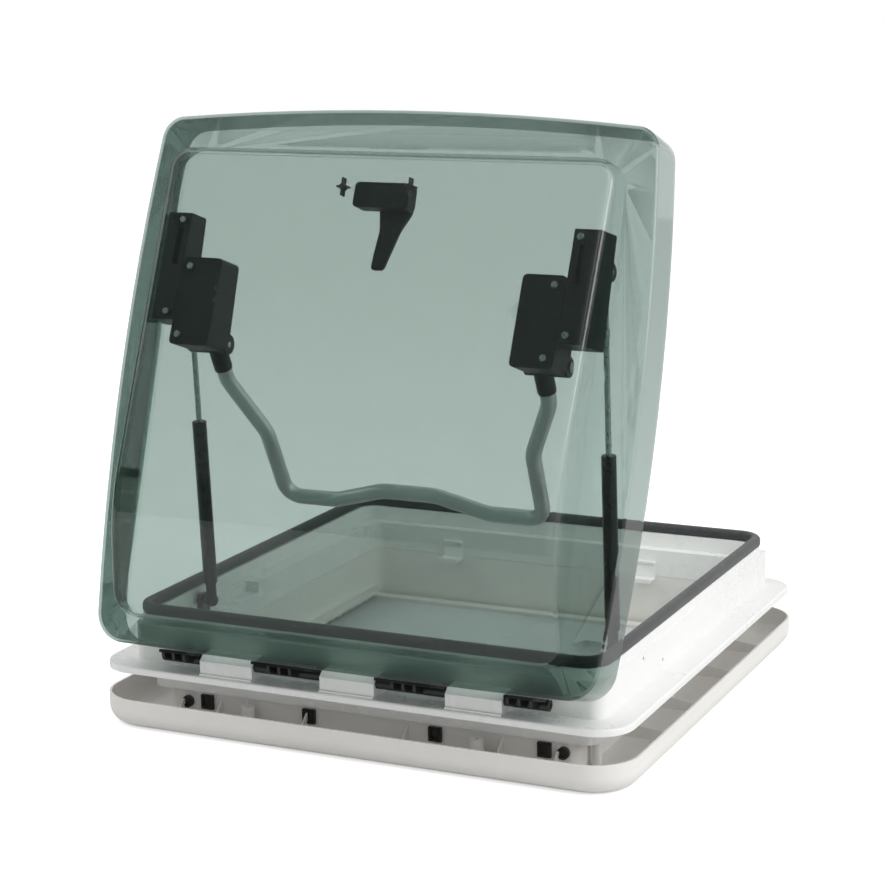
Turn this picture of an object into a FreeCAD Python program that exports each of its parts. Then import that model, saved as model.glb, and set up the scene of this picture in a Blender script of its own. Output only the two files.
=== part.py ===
import FreeCAD, Part
import math
import os
import re
import Sketcher
from FreeCAD import Placement, Rotation, Vector

# A hinged roof skylight for a caravan or camper, in millimetres.
# X runs along the hinge, Y from the hinge side to the free side, and Z up.
# The origin is the middle of the roof opening, on the roof's outer surface.
# The lid's pieces are drawn on the closed frame and then swung open about the hinge.

SIZES = {
    "wall": 3,
    "seat_gap": 0.3,
    "pin_play": 0.05,
    # Roof frame
    "cutout_side": 500,
    "cutout_gap": 2,
    "collar_depth": 25,
    "flange_reach": 42,
    "flange_thick": 7,
    "flange_radius": 38,
    "flange_edge": 2,
    "curb_step_side": 13,
    "curb_step_front": 14,
    "curb_step_back": 21,
    "curb_height": 45,
    "curb_radius": 4,
    "curb_radius_front": 14,
    "rim_height": 56,
    "rim_radius": 18,
    "side_channel": 21,
    "end_channel": 6,
    "shelf_height": 39.5,
    "joint_height": 8,
    "opening_radius": 10,
    "drain_bore": 4,
    # Seal
    "seal_width": 9.8,
    "seal_height": 60,
    "seal_round": 3.5,
    "seal_margin": 1.2,
    # Hinge
    "hinge_out": 14,
    "hinge_height": 21,
    "hinge_pin": 6,
    "hinge_rod_end": 212,
    "block_width": 60,
    "block_spacing": 137,
    "block_nose": 9,
    "knuckle_reach": 46,
    "knuckle_radius": 6,
    "knuckle_slope": 8,
    "knuckle_plate": 27,
    "knuckle_thick": 3,
    "knuckle_pitch": 12,
    "open_angle": 71.37,
    # Lid
    "lid_gap_side": 10,
    "lid_gap_front": 6.5,
    "lid_gap_back": 7.5,
    "lid_bow_side": 14,
    "lid_bow_back": 12.6,
    "lid_bow_front": 2,
    "lid_radius_front": 32,
    "lid_radius_back": 25,
    "skirt_depth": 52,
    "lid_edge": 3.5,
    "notch_height": 20,
    "notch_play": 1.5,
    "pane_rim": 2.5,
    "pane_thick": 2,
    "pane_drop": 5,
    "pane_side_gap": 1,
    "dome_margin_side": 24.5,
    "dome_margin_front": 25,
    "dome_margin_back": 32,
    "dome_radius": 28,
    "dome_draft": 10,
    "dome_front_rise": 19,
    "dome_ridge_rise": 66.9,
    "dome_ridge_distance": 135,
    "dome_back_rise": 27,
    "dome_ridge_radius": 150,
    "dome_crest_radius": 8,
    # Bail and its housings
    "bail_pivot_distance": 312,
    "bail_pivot_drop": 6,
    "bail_tube": 16,
    "bail_tube_wall": 1.6,
    "bail_taper": 32,
    "bail_corner_radius": 18,
    "bail_bend": 45,
    "bail_bend_end": 110,
    "bail_bend_shift": 2.5,
    "bail_arm_radius": 35,
    "bail_grip_radius": 45,
    "bail_seat_run": 59,
    "bail_grip": 30,
    "bail_grip_rise": 18,
    "bail_rest_angle": 224.4,
    "socket_radius": 10,
    "socket_width": 19,
    "socket_neck": 19,
    "socket_length": 30,
    "socket_bore_start": 12,
    "bail_pin": 6,
    "socket_play": 0.7,
    "housing_roof": 11,
    "housing_cheek": 15.5,
    "housing_shoulder": 29,
    "housing_gap": 0.5,
    "housing_front": 303,
    "housing_back": 394,
    "housing_bottom": 0.5,
    "housing_lug": 10,
    # Strut guides
    "guide_reach": 21.5,
    "guide_front": 328,
    "guide_back": 440,
    "guide_bottom": 1.5,
    "guide_lug": 9,
    "guide_lug_wall": 4,
    "guide_slot": 6,
    # Gas struts
    "strut_inset": 3,
    "strut_foot_distance": 110.5,
    "strut_foot_height": 43.8,
    "strut_top_distance": 406,
    "strut_top_drop": 4.5,
    "strut_tube": 15,
    "strut_tube_wall": 1.5,
    "strut_tube_edge": 1.2,
    "strut_tube_length": 180,
    "strut_foot_length": 20,
    "strut_rod": 6,
    "strut_rod_length": 196,
    "strut_eye_width": 8,
    "strut_eye_radius": 6.5,
    "strut_ball": 10,
    "strut_pin": 5,
    "pocket_front": 195,
    "pocket_back": 55,
    "pocket_floor": 27.5,
    "bracket_thick": 5.2,
    # Latch
    "latch_distance": 463,
    "latch_base_width": 60,
    "latch_base_depth": 26,
    "latch_base_drop": 16,
    "latch_lever_length": 68,
    "latch_lever_width": 15,
    "latch_lever_thick": 6,
    "latch_spindle": 6,
    # Spacer pillars and screws
    "pillar_radius": 4.5,
    "pillar_fin": 8,
    "pillar_fin_thick": 1.5,
    "screw_shank": 3.5,
    "screw_head": 7,
    "screw_head_height": 2.2,
    "bail_screw_inset": 10,
    "guide_screw_inset": 8,
    # Bail catches
    "catch_inset": 24,
    "catch_width": 25,
    "catch_seat_height": 15,
    "catch_seat_gap": 10.8,
    "catch_plate": 2.5,
    "catch_lip": 2.5,
    "catch_hook": 2.3,
    "catch_top": 26,
    # Ceiling trim
    "trim_overhang": 4,
    "trim_radius": 49,
    "trim_rim_depth": 28,
    "trim_depth": 60,
    "trim_edge": 18,
    "trim_skin": 2.5,
    "gusset_thick": 2,
    "gusset_reach": 30,
    "gusset_height": 29,
    "step_reach": 46,
    "step_foot": 10,
    "step_height": 46,
    "post_out": 13.5,
    "post_radius": 7,
    "post_top": 29.5,
    "clamp_boss": 10,
    "clamp_screw": 4,
    "clamp_head": 8,
    "clamp_head_height": 3,
    "clamp_spacing": 215,
    # Blinds
    "rail_width": 6,
    "rail_wall": 1.2,
    "rail_gap": 0.4,
    "screen_level": 52,
    "blind_level": 41,
    "bar_depth": 14,
    "bar_height": 8,
    "screen_bar_rest": 229,
    "blind_bar_rest": 205,
    "pleat_thick": 0.8,
    "pleat_count": 26,
    "pleat_height": 5,
    "stack_count": 5,
    "stack_height": 7,
    "cassette_depth": 10,
    "grip_width": 60,
    "grip_depth": 9,
    "grip_drop": 2.5,
    "block_corner": 5,
}

# Places that follow from the sizes, as expressions on the sheet's cells.

collar = "(cutout_side / 2 - cutout_gap)"
open_x = f"({collar} - side_channel)"
open_y = f"({collar} - end_channel)"
flange_x = f"({collar} + flange_reach)"
curb_x = f"({collar} + curb_step_side)"
curb_front = f"(-({collar} + curb_step_front))"
curb_back = f"({collar} + curb_step_back)"
crown_x = f"({curb_x} - seal_margin)"
crown_front = f"({curb_front} + seal_margin)"
crown_back = f"({curb_back} - seal_margin)"
rim_x = f"({crown_x} - seal_width)"
rim_front = f"({crown_front} + seal_width)"
rim_back = f"({crown_back} - seal_width)"
hinge_y = f"({curb_front} - hinge_out)"
lid_x = f"({curb_x} + lid_gap_side)"
lid_front = f"({curb_front} - lid_gap_front)"
lid_back = f"({curb_back} + lid_gap_back)"
pane_under = "(seal_height + seat_gap)"
shell_under = f"({pane_under} + pane_rim)"
rim_top = f"({shell_under} + wall)"
skirt_rim = f"({rim_top} - skirt_depth)"

# Sizes that follow from others. Across the lid they start from the line of the gas struts.

FOLLOWING = {
    "strut_offset": f"{open_x} + strut_inset",
    "guide_inner": "strut_offset - guide_reach",
    "housing_outer": "guide_inner - housing_gap",
    "bail_arm": "housing_outer - housing_shoulder",
    "housing_inner": "bail_arm - housing_cheek",
    "housing_channel": "socket_width + 2 * socket_play",
    "bail_corner": "bail_arm - bail_taper",
    "bail_trough": "bail_corner - bail_seat_run",
    "catch_spacing": "bail_corner - catch_inset",
}

doc = FreeCAD.newDocument("skylight")
sheet = doc.addObject("Spreadsheet::Sheet", "sizes")
CELLS = {**SIZES, **{alias: "=" + text for alias, text in FOLLOWING.items()}}
for row, (alias, value) in enumerate(CELLS.items(), 1):
    sheet.set(f"A{row}", alias)
    sheet.set(f"B{row}", str(value))
    sheet.setAlias(f"B{row}", alias)
doc.recompute()

ALIAS = re.compile(r"\b(" + "|".join(CELLS) + r")\b")


def number(text):
    return float(sheet.evalExpression(str(text)))


def link(text):
    return ALIAS.sub(r"sizes.\1", str(text))


def bind(obj, **values):
    for name, text in values.items():
        obj.setExpression(name, link(text))
    return obj


def move(obj, x, y, z):
    for axis, text in zip("xyz", (x, y, z)):
        obj.setExpression("Placement.Base." + axis, link(text))
    return obj


def block(name, x, y, z):
    """A box over three spans, each a pair of limits."""
    box = doc.addObject("Part::Box", name)
    bind(box, Length=f"{x[1]} - ({x[0]})", Width=f"{y[1]} - ({y[0]})", Height=f"{z[1]} - ({z[0]})")
    return move(box, x[0], y[0], z[0])


AXES = {
    "x": Rotation(Vector(0, 1, 0), 90),
    "y": Rotation(Vector(1, 0, 0), -90),
    "z": Rotation(),
}


def rod(name, axis, centre, span, radius):
    """A round bar along one axis; centre gives the two other coordinates, in x, y, z order."""
    bar = doc.addObject("Part::Cylinder", name)
    bar.Placement = Placement(Vector(), AXES[axis])
    bind(bar, Radius=radius, Height=f"{span[1]} - ({span[0]})")
    place = list(centre)
    place.insert("xyz".index(axis), span[0])
    return move(bar, *place)


def ball(name, centre, radius):
    sphere = doc.addObject("Part::Sphere", name)
    bind(sphere, Radius=radius)
    return move(sphere, *centre)


def fuse(name, parts):
    both = doc.addObject("Part::MultiFuse", name)
    both.Shapes = parts
    return both


def cut(name, base, tools):
    result = doc.addObject("Part::Cut", name)
    result.Base = base
    result.Tool = tools[0] if len(tools) == 1 else fuse(name + "_tools", tools)
    return result


def upright(edge):
    return edge.Curve.TypeId == "Part::GeomLine" and abs(edge.tangentAt(edge.FirstParameter).z) > 0.999


def at_height(level):
    """Picks the edges that lie wholly at one height."""
    height = number(level)
    return lambda edge: all(abs(point.z - height) < 0.001 for point in edge.discretize(3))


def round_edges(name, base, radius, pick, front_radius=None):
    """Rounds the picked edges; those on the hinge side may have a radius of their own."""
    doc.recompute()
    back = number(radius)
    front = number(front_radius or radius)
    fillet = doc.addObject("Part::Fillet", name)
    fillet.Base = base
    sizes = [(i, front if edge.CenterOfMass.y < 0 else back)
             for i, edge in enumerate(base.Shape.Edges, 1) if pick(edge)]
    fillet.Edges = [(i, size, size) for i, size in sizes]
    return fillet


def tile(name, x, y, z, radius, front_radius=None):
    """A box with its upright edges rounded."""
    return round_edges(name, block(name + "_box", x, y, z), radius, upright, front_radius)


def both_sides(half):
    return (f"-{half}", half)


def ring(name, x, y, z, radius, thick, front_radius=None):
    """A rounded wall of one thickness round a rectangle of half width x and span y."""
    front_radius = front_radius or radius
    inner_y = (f"({y[0]}) + {thick}", f"{y[1]} - ({thick})")
    outer = tile(name + "_outer", both_sides(x), y, z, radius, front_radius)
    inner = tile(name + "_inner", both_sides(f"({x} - ({thick}))"), inner_y,
                 (f"({z[0]}) - 1", f"{z[1]} + 1"), f"max({radius} - ({thick}); 1)",
                 f"max({front_radius} - ({thick}); 1)")
    return cut(name, outer, [inner])


PLANES = {"x": "YZ_Plane", "y": "XZ_Plane", "z": "XY_Plane"}


def prism(name, axis, outline, span):
    """A straight-sided outline, drawn on an origin plane and padded along its axis over a span."""
    body = doc.addObject("PartDesign::Body", name)
    sketch = body.newObject("Sketcher::SketchObject", name + "_outline")
    plane = [item for item in body.Origin.OriginFeatures if item.Role == PLANES[axis]][0]
    sketch.AttachmentSupport = [(plane, "")]
    sketch.MapMode = "FlatFace"
    start = f"-({span[1]})" if axis == "y" else span[0]
    sketch.setExpression("AttachmentOffset.Base.z", link(start))
    points = [(number(a), number(b)) for a, b in outline]
    ends = points[1:] + points[:1]
    for a, b in zip(points, ends):
        sketch.addGeometry(Part.LineSegment(Vector(*a, 0), Vector(*b, 0)), False)
    for i in range(len(points)):
        sketch.addConstraint(Sketcher.Constraint("Coincident", i, 2, (i + 1) % len(points), 1))
    for i, (point, texts) in enumerate(zip(points, outline)):
        for kind, value, text in zip(("DistanceX", "DistanceY"), point, texts):
            index = sketch.addConstraint(Sketcher.Constraint(kind, -1, 1, i, 1, value))
            sketch.setExpression(f"Constraints[{index}]", link(text))
    pad = body.newObject("PartDesign::Pad", name + "_pad")
    pad.Profile = sketch
    bind(pad, Length=f"{span[1]} - ({span[0]})")
    return body


def feature(name, shape):
    item = doc.addObject("Part::Feature", name)
    item.Shape = shape
    return item


def mirrored(name, source):
    doc.recompute()
    return feature(name, source.Shape.mirror(Vector(), Vector(1, 0, 0)))


def turned(y, z, angle):
    """A turn about a line along X through y and z."""
    centre = Vector(0, number(y), number(z))
    turn = Rotation(Vector(1, 0, 0), number(angle))
    return Placement(centre, turn).multiply(Placement(-centre, Rotation()))


final = {}


def keep(name, item, place=None):
    item.Label = name
    if place is not None:
        item.Placement = place
    final[name] = item
    return item


lid_swing = turned(hinge_y, "hinge_height", "open_angle")


# Roof frame: one moulding with a flange, a curb with a seal ledge, and a hollow inner lining.

pocket_far = "(strut_offset + strut_tube / 2 + seat_gap + bracket_thick)"


def frame_pocket(side):
    """A hollow in the side shelf where the strut's foot lies."""
    near = f"({open_x} - 1)"
    far = pocket_far
    spans = [(f"{side} * {near}", f"{side} * {far}"), (f"{side} * {open_x}", f"{side} * ({far} + wall)")]
    hollow_x, block_x = [span if side > 0 else span[::-1] for span in spans]
    shell = block("pocket_shell", block_x, ("-pocket_front - wall", "-pocket_back + wall"),
                  ("pocket_floor - wall", "shelf_height"))
    hollow = block("pocket_hollow", hollow_x, ("-pocket_front", "-pocket_back"),
                   ("pocket_floor", "shelf_height + 1"))
    return shell, hollow


def hinge_block(centre):
    """A moulded block on the front wall that holds the hinge rod."""
    wall_in = f"{curb_front} + 1"
    nose = f"{hinge_y} - block_nose"
    outline = [
        (wall_in, "flange_thick - 1"),
        (f"{nose} - 2", "flange_thick - 1"),
        (f"{nose} - 2", "flange_thick + 2"),
        (nose, "flange_thick + 2"),
        (nose, "hinge_height + 1"),
        (f"{nose} + 6", "hinge_height + 6"),
        (wall_in, "hinge_height + 7"),
    ]
    return prism("hinge_block", "x", outline, (f"{centre} - block_width / 2", f"{centre} + block_width / 2"))


crown_radius = "(rim_radius + seal_width)"

# Two drain holes in the curb's right side: y and height of each.
DRAINS = (("-cutout_side * 0.296", "curb_height * 0.81"), ("-cutout_side * 0.18", "curb_height * 0.41"))


def outer_frame():
    square = both_sides(collar)
    curb_y = (curb_front, curb_back)
    rim_y = (rim_front, rim_back)
    flange = round_edges("flange_soft", ring("flange", flange_x, both_sides(flange_x),
                         ("0", "flange_thick"), "flange_radius", "flange_reach + wall"), "flange_edge",
                         lambda edge: at_height("flange_thick")(edge) and edge.BoundBox.DiagonalLength > 20
                         and max(abs(edge.CenterOfMass.x), abs(edge.CenterOfMass.y)) > number(collar) + 5)
    collar_wall = ring("collar", collar, square, ("-collar_depth", "flange_thick"), "opening_radius + wall",
                       "wall")
    curb = ring("curb", curb_x, curb_y, ("0", "curb_height"), "curb_radius", "wall", "curb_radius_front")
    ledge_z = ("curb_height - wall", "curb_height")
    ledge = cut("ledge", tile("ledge_outer", both_sides(curb_x), curb_y, ledge_z, "curb_radius",
                              "curb_radius_front"),
                [tile("ledge_inner", both_sides(f"({crown_x} - wall)"),
                      (f"{crown_front} + wall", f"{crown_back} - wall"),
                      ("curb_height - wall - 1", "curb_height + 1"), f"{crown_radius} - wall")])
    crown = [ring("crown_wall", crown_x, (crown_front, crown_back), ("curb_height - wall", "rim_height"),
                  crown_radius, "wall"),
             ring("crown_top", crown_x, (crown_front, crown_back), ("rim_height - wall", "rim_height"),
                  crown_radius, "seal_width + wall")]
    rim = ring("rim", rim_x, rim_y, ("shelf_height - wall", "rim_height"), "rim_radius", "wall")
    shelf_outer = tile("shelf_outer", both_sides(rim_x), rim_y, ("shelf_height - wall", "shelf_height"),
                       "rim_radius")
    lining = tile("lining", both_sides(f"({open_x} + wall)"), both_sides(f"({open_y} + wall)"),
                  ("joint_height", "shelf_height"), "opening_radius + wall")
    pockets = [frame_pocket(side) for side in (1, -1)]
    blocks = [hinge_block(centre) for centre in ("-block_spacing", "0", "block_spacing")]
    solid = fuse("frame_solid", [flange, collar_wall, curb, ledge, rim, shelf_outer, lining] + crown
                 + [pocket[0] for pocket in pockets] + blocks)
    opening = tile("opening", both_sides(open_x), both_sides(open_y),
                   ("-1", "rim_height + 1"), "opening_radius")
    bore = rod("hinge_bore", "x", (hinge_y, "hinge_height"),
               ("-hinge_rod_end - 1", "hinge_rod_end + 1"), "hinge_pin / 2 + pin_play")
    drains = [rod("drain", "x", place, (f"{curb_x} - 2 * wall", f"{curb_x} + wall"), "drain_bore / 2")
              for place in DRAINS]
    return cut("outer_frame", solid, [opening, bore] + [pocket[1] for pocket in pockets] + drains)


def frame_seal():
    """A bulb seal on the rim, drawn at the height that the shut lid leaves it."""
    body = ring("seal_body", crown_x, (crown_front, crown_back), ("rim_height", "seal_height"), crown_radius,
                "seal_width")
    return round_edges("frame_seal", body, "seal_round", at_height("seal_height"))


def hinge_rod():
    return rod("hinge_rod", "x", (hinge_y, "hinge_height"), ("-hinge_rod_end", "hinge_rod_end"),
               "hinge_pin / 2")


keep("outer_frame", outer_frame())
keep("frame_seal", frame_seal())
keep("hinge_rod", hinge_rod())


# Hinge knuckles: four mouldings on the lid's front face that turn on the rod.

def knuckle(name, span):
    face = f"{lid_front} - lid_bow_front - seat_gap"
    middle = f"({span[0]} + {span[1]}) / 2"
    plate = prism(name + "_plate", "y", [
        (span[0], "hinge_height"),
        (span[1], "hinge_height"),
        (f"{span[1]} - knuckle_slope", "hinge_height + knuckle_plate"),
        (f"{span[0]} + knuckle_slope", "hinge_height + knuckle_plate"),
    ], (f"{face} - knuckle_thick", face))
    eye = rod(name + "_eye", "x", (hinge_y, "hinge_height"), span, "knuckle_radius")
    in_eye = "((knuckle_radius + hinge_pin / 2) / 2)"
    webs = [prism(name + "_web", "x", [
        (f"{hinge_y} - {in_eye} * 0.9", f"hinge_height + {in_eye} * 0.5"),
        (f"{hinge_y} + {in_eye} * 0.7", f"hinge_height + {in_eye} * 0.8"),
        (f"{hinge_y} + {in_eye} * 0.7", "hinge_height + knuckle_plate - 2"),
        (f"{hinge_y} - {in_eye} * 0.9", "hinge_height + knuckle_plate - 6"),
    ], (f"{middle} + {offset} * knuckle_pitch - knuckle_thick / 2",
        f"{middle} + {offset} * knuckle_pitch + knuckle_thick / 2")) for offset in (-1, 0, 1)]
    clear = block(name + "_clear", (f"{span[0]} - 1", f"{span[1]} + 1"), (face, f"{face} + knuckle_radius"),
                  ("hinge_height - 2 * knuckle_radius", "hinge_height + 2 * knuckle_radius"))
    bore = rod(name + "_bore", "x", (hinge_y, "hinge_height"),
               (f"{span[0]} - 1", f"{span[1]} + 1"), "hinge_pin / 2 + pin_play")
    return cut(name, fuse(name + "_solid", [plate, eye] + webs), [bore, clear])


block_half = "(block_width / 2 + seat_gap)"
KNUCKLES = {
    "hinge_knuckle_outer_left": (f"(-block_spacing - {block_half} - knuckle_reach)",
                                 f"(-block_spacing - {block_half})"),
    "hinge_knuckle_inner_left": (f"(-block_spacing + {block_half})", f"(-{block_half})"),
    "hinge_knuckle_inner_right": (f"{block_half}", f"(block_spacing - {block_half})"),
    "hinge_knuckle_outer_right": (f"(block_spacing + {block_half})",
                                  f"(block_spacing + {block_half} + knuckle_reach)"),
}
for knuckle_name, knuckle_span in KNUCKLES.items():
    keep(knuckle_name, knuckle(knuckle_name, knuckle_span), lid_swing)


# Places on the closed lid: how far from its hinge end, and where the pane's underside is there.

back_crest = f"({lid_back} - dome_margin_back)"
ridge_y = f"({lid_front} + dome_ridge_distance)"
back_slope = f"((dome_ridge_rise - dome_back_rise) / ({back_crest} - {ridge_y}))"


def on_lid(distance):
    return f"({lid_front} + {distance})"


def slope_height(y, drop):
    """The height of the dome's back slope, or of a skin that lies drop below it."""
    return f"({rim_top} - ({drop}) + dome_back_rise + {back_slope} * ({back_crest} - ({y})))"


def under_pane(y, gap="seat_gap"):
    return slope_height(y, f"wall + pane_drop + pane_thick + {gap}")


def side_wall_x(height):
    """Half the width inside the pane's raised middle at a height."""
    margin = f"({lid_x} - dome_margin_side - wall - pane_side_gap - pane_thick)"
    return f"({margin} - tan(dome_draft) * ({height} - {rim_top}))"


catch_y = f"({open_y} - catch_seat_gap)"
pivot_y = on_lid("bail_pivot_distance")
pivot_z = f"({rim_top} - bail_pivot_drop)"
strut_top_y = on_lid("strut_top_distance")
strut_top_z = f"({pane_under} - strut_top_drop)"
strut_foot_y = f"({curb_front} + strut_foot_distance)"


def screw_place(x, distance):
    """Where a screw's head sits on the pane: its own Z points out of the slope."""
    y = on_lid(distance)
    top = slope_height(y, "wall + pane_drop")
    tilt = -math.degrees(math.atan(number(back_slope)))
    return Placement(Vector(x, number(y), number(top)), Rotation(Vector(1, 0, 0), tilt))


# How far from the middle and how far up the lid the housings' screws sit.
SCREWS = {
    "bail": (("housing_outer - bail_screw_inset", "housing_front + bail_screw_inset"),
             ("housing_outer - bail_screw_inset", "housing_back - bail_screw_inset")),
    "guide": (("guide_inner + guide_screw_inset", "guide_front + guide_screw_inset"),
              ("guide_inner + guide_screw_inset", "guide_back - guide_screw_inset")),
}


def screw_holes(group, side=1):
    holes = []
    for x, distance in SCREWS[group]:
        hole = Part.makeCylinder(number("screw_shank") / 2 + 0.1, 23, Vector(0, 0, -13))
        hole.Placement = screw_place(side * number(x), distance)
        holes.append(hole)
    return holes


# Lid: a domed outer shell over a flatter inner pane.

def bow(start, end, height):
    """An arc whose middle stands out by height on the right-hand side."""
    along = (end - start).normalize()
    middle = (start + end) * 0.5 + Vector(along.y, -along.x, 0) * height
    return Part.Arc(start, middle, end).toShape()


def lid_plate(inset, low, high):
    """The lid's outline with its bowed sides, moved in by inset, from one height to another."""
    x = number(lid_x) - inset
    front = number(lid_front) + inset
    back = number(lid_back) - inset
    corners = [Vector(-x, front, low), Vector(x, front, low), Vector(x, back, low), Vector(-x, back, low)]
    heights = [number("lid_bow_" + side) for side in ("front", "side", "back", "side")]
    edges = [bow(a, b, height) for a, b, height in zip(corners, corners[1:] + corners[:1], heights)]
    solid = Part.Face(Part.Wire(edges)).extrude(Vector(0, 0, high - low))
    for y, radius in ((front, number("lid_radius_front")), (back, number("lid_radius_back"))):
        posts = [edge for edge in solid.Edges if upright(edge) and abs(edge.Vertexes[0].Y - y) < 0.01]
        solid = solid.makeFillet(radius - inset, posts)
    return solid


def rounded_loop(x, front, back, radius, height):
    """A rectangle with round corners at one height."""
    corners = [(-x, front, 180), (x, front, 270), (x, back, 0), (-x, back, 90)]
    edges = []
    points = []
    for cx, cy, start in corners:
        centre = Vector(cx - math.copysign(radius, cx), cy + (radius if cy == front else -radius), height)
        rays = [Vector(math.cos(math.radians(a)), math.sin(math.radians(a)), 0) * radius
                for a in (start, start + 45, start + 90)]
        points.append([centre + ray for ray in rays])
    for here, following in zip(points, points[1:] + points[:1]):
        edges.append(Part.Arc(*here).toShape())
        edges.append(Part.LineSegment(here[2], following[0]).toShape())
    return Part.Wire(edges)


def dome_profile(low, drop):
    """The side view of the raised middle: two slopes that meet in a round ridge."""
    top = number(rim_top) - drop
    start = number(lid_front)
    back_edge = number(lid_back) - number("dome_margin_back")
    front_crest = Vector(0, start + number("dome_margin_front"), top + number("dome_front_rise"))
    ridge = Vector(0, start + number("dome_ridge_distance"), top + number("dome_ridge_rise"))
    back_crest = Vector(0, back_edge, top + number("dome_back_rise"))
    front_slope = (ridge - front_crest).normalize()
    back_slope = (back_crest - ridge).normalize()
    turn = front_slope.getAngle(back_slope)
    radius = number("dome_ridge_radius")
    run = radius * math.tan(turn / 2)
    arc_start = ridge - front_slope * run
    arc_end = ridge + back_slope * run
    inward = (back_slope - front_slope).normalize()
    arc_middle = ridge + inward * (radius / math.cos(turn / 2) - radius)
    front_end = front_crest - front_slope * (20 / front_slope.y)
    back_end = back_crest + back_slope * (20 / back_slope.y)
    base = [Vector(0, back_end.y, low), Vector(0, front_end.y, low)]
    edges = [
        Part.LineSegment(front_end, arc_start).toShape(),
        Part.Arc(arc_start, arc_middle, arc_end).toShape(),
        Part.LineSegment(arc_end, back_end).toShape(),
        Part.LineSegment(back_end, base[0]).toShape(),
        Part.LineSegment(base[0], base[1]).toShape(),
        Part.LineSegment(base[1], front_end).toShape(),
    ]
    return Part.Face(Part.Wire(edges))


def raised_middle(inset, drop, low):
    """The dome's raised middle with drafted walls, moved in by inset and down by drop."""
    level = number(rim_top)
    high = level + number("dome_ridge_rise") + 5
    slope = math.tan(math.radians(number("dome_draft")))
    x = number(lid_x) - number("dome_margin_side")
    front = number(lid_front) + number("dome_margin_front")
    back = number(lid_back) - number("dome_margin_back")
    loops = []
    for height in (low, high):
        shrink = inset + slope * (height - level)
        radius = max(number("dome_radius") - shrink, 1)
        loops.append(rounded_loop(x - shrink, front + shrink, back - shrink, radius, height))
    tapered = Part.makeLoft(loops, True, True)
    profile = dome_profile(low - 1, drop)
    profile.translate(Vector(-x - 10, 0, 0))
    solid = tapered.common(profile.extrude(Vector(2 * x + 20, 0, 0)))
    tops = [face for face in solid.Faces if face.normalAt(*middle_of(face)).z > 0.8]
    crest = [edge for edge in solid.Edges
             if sum(any(edge.isSame(other) for other in face.Edges) for face in tops) == 1]
    return solid.makeFillet(max(number("dome_crest_radius") - inset, 1), crest)


def middle_of(face):
    u0, u1, v0, v1 = face.ParameterRange
    return (u0 + u1) / 2, (v0 + v1) / 2


def dome_shell():
    wall = number("wall")
    top = number(rim_top)
    bottom = number(skirt_rim)
    outer = lid_plate(0, bottom, top)
    brim = [edge for edge in outer.Edges if at_height(rim_top)(edge)]
    outer = outer.makeFillet(number("lid_edge"), brim)
    outer = outer.fuse(raised_middle(0, 0, top - wall - 1))
    inner = lid_plate(wall, bottom - 1, top - wall)
    inner = inner.fuse(raised_middle(wall, wall, top - wall - 1))
    shell = outer.cut(inner)
    half = number("block_width / 2 + notch_play")
    for centre in (-number("block_spacing"), 0, number("block_spacing")):
        corner = Vector(centre - half, number(lid_front) - 10, bottom - 1)
        shell = shell.cut(Part.makeBox(2 * half, 15 + wall, number("notch_height") + 1, corner))
    return feature("dome_shell", shell.removeSplitter())


def inner_pane():
    """The inner skin: a flat rim on the seal and a raised middle that follows the dome."""
    wall = number("wall")
    bottom = number(pane_under)
    gap = wall + number("pane_side_gap")
    thick = number("pane_thick")
    drop = wall + number("pane_drop")
    rim = lid_plate(wall + number("seat_gap"), bottom, bottom + number("pane_rim"))
    outer = rim.fuse(raised_middle(gap, drop, bottom))
    pane = outer.cut(raised_middle(gap + thick, drop + thick, bottom - 1)).removeSplitter()
    for side in (1, -1):
        pane = pane.cut(screw_holes("bail", side) + screw_holes("guide", side))
    return feature("inner_pane", pane)


keep("dome_shell", dome_shell(), lid_swing)
keep("inner_pane", inner_pane(), lid_swing)


def pair(name, right, place=None):
    """Keeps a right-hand piece and its mirror image on the left."""
    left = mirrored("left_" + name, right)
    keep("right_" + name, right, place)
    keep("left_" + name, left, place)


def housing_screws():
    shank = number("screw_shank") / 2
    head = number("screw_head") / 2
    height = number("screw_head_height")
    screws = []
    for x, distance in SCREWS["bail"] + SCREWS["guide"]:
        for side in (1, -1):
            pin = Part.makeCylinder(shank, 12, Vector(0, 0, -12))
            cap = Part.makeCylinder(head, height)
            cap = cap.makeFillet(height / 2, [edge for edge in cap.Edges if edge.BoundBox.ZMin > height / 2])
            screw = pin.fuse(cap)
            screw.Placement = screw_place(side * number(x), distance)
            screws.append(screw)
    return feature("housing_screws", Part.makeCompound(screws))


# Bail housings: moulded blocks under the pane whose cheeks carry the bail's pivots.

def bail_housing():
    front = on_lid("housing_front")
    back = on_lid("housing_back")
    bottom = f"{pane_under} + housing_bottom"
    body = round_edges("bail_housing_body", prism("bail_housing_side", "x", [
        (front, bottom),
        (back, bottom),
        (back, under_pane(back)),
        (front, under_pane(front)),
    ], ("housing_inner", "housing_outer")), "block_corner", upright)
    lug = rod("bail_lug", "x", (pivot_y, pivot_z), ("housing_inner", "housing_outer"), "housing_lug")
    channel = block("bail_channel", ("bail_arm - housing_channel / 2", "bail_arm + housing_channel / 2"),
                    (f"{front} - 20", f"{back} + 1"), (f"{pivot_z} - 20", f"{pivot_z} + housing_roof"))
    hollow = block("bail_hollow", ("bail_arm + housing_channel / 2 + wall", "housing_outer - wall"),
                   (f"{pivot_y} + housing_lug + wall", f"{back} - wall"),
                   (f"{bottom} - 1", f"{under_pane(back)} - wall"))
    bore = rod("bail_bore", "x", (pivot_y, pivot_z), ("housing_inner - 1", "housing_outer + 1"),
               "bail_pin / 2 + pin_play")
    holes = [feature("bail_screw_hole", hole) for hole in screw_holes("bail")]
    return cut("right_bail_housing", fuse("bail_housing_solid", [body, lug]),
               [channel, hollow, bore] + holes)


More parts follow.
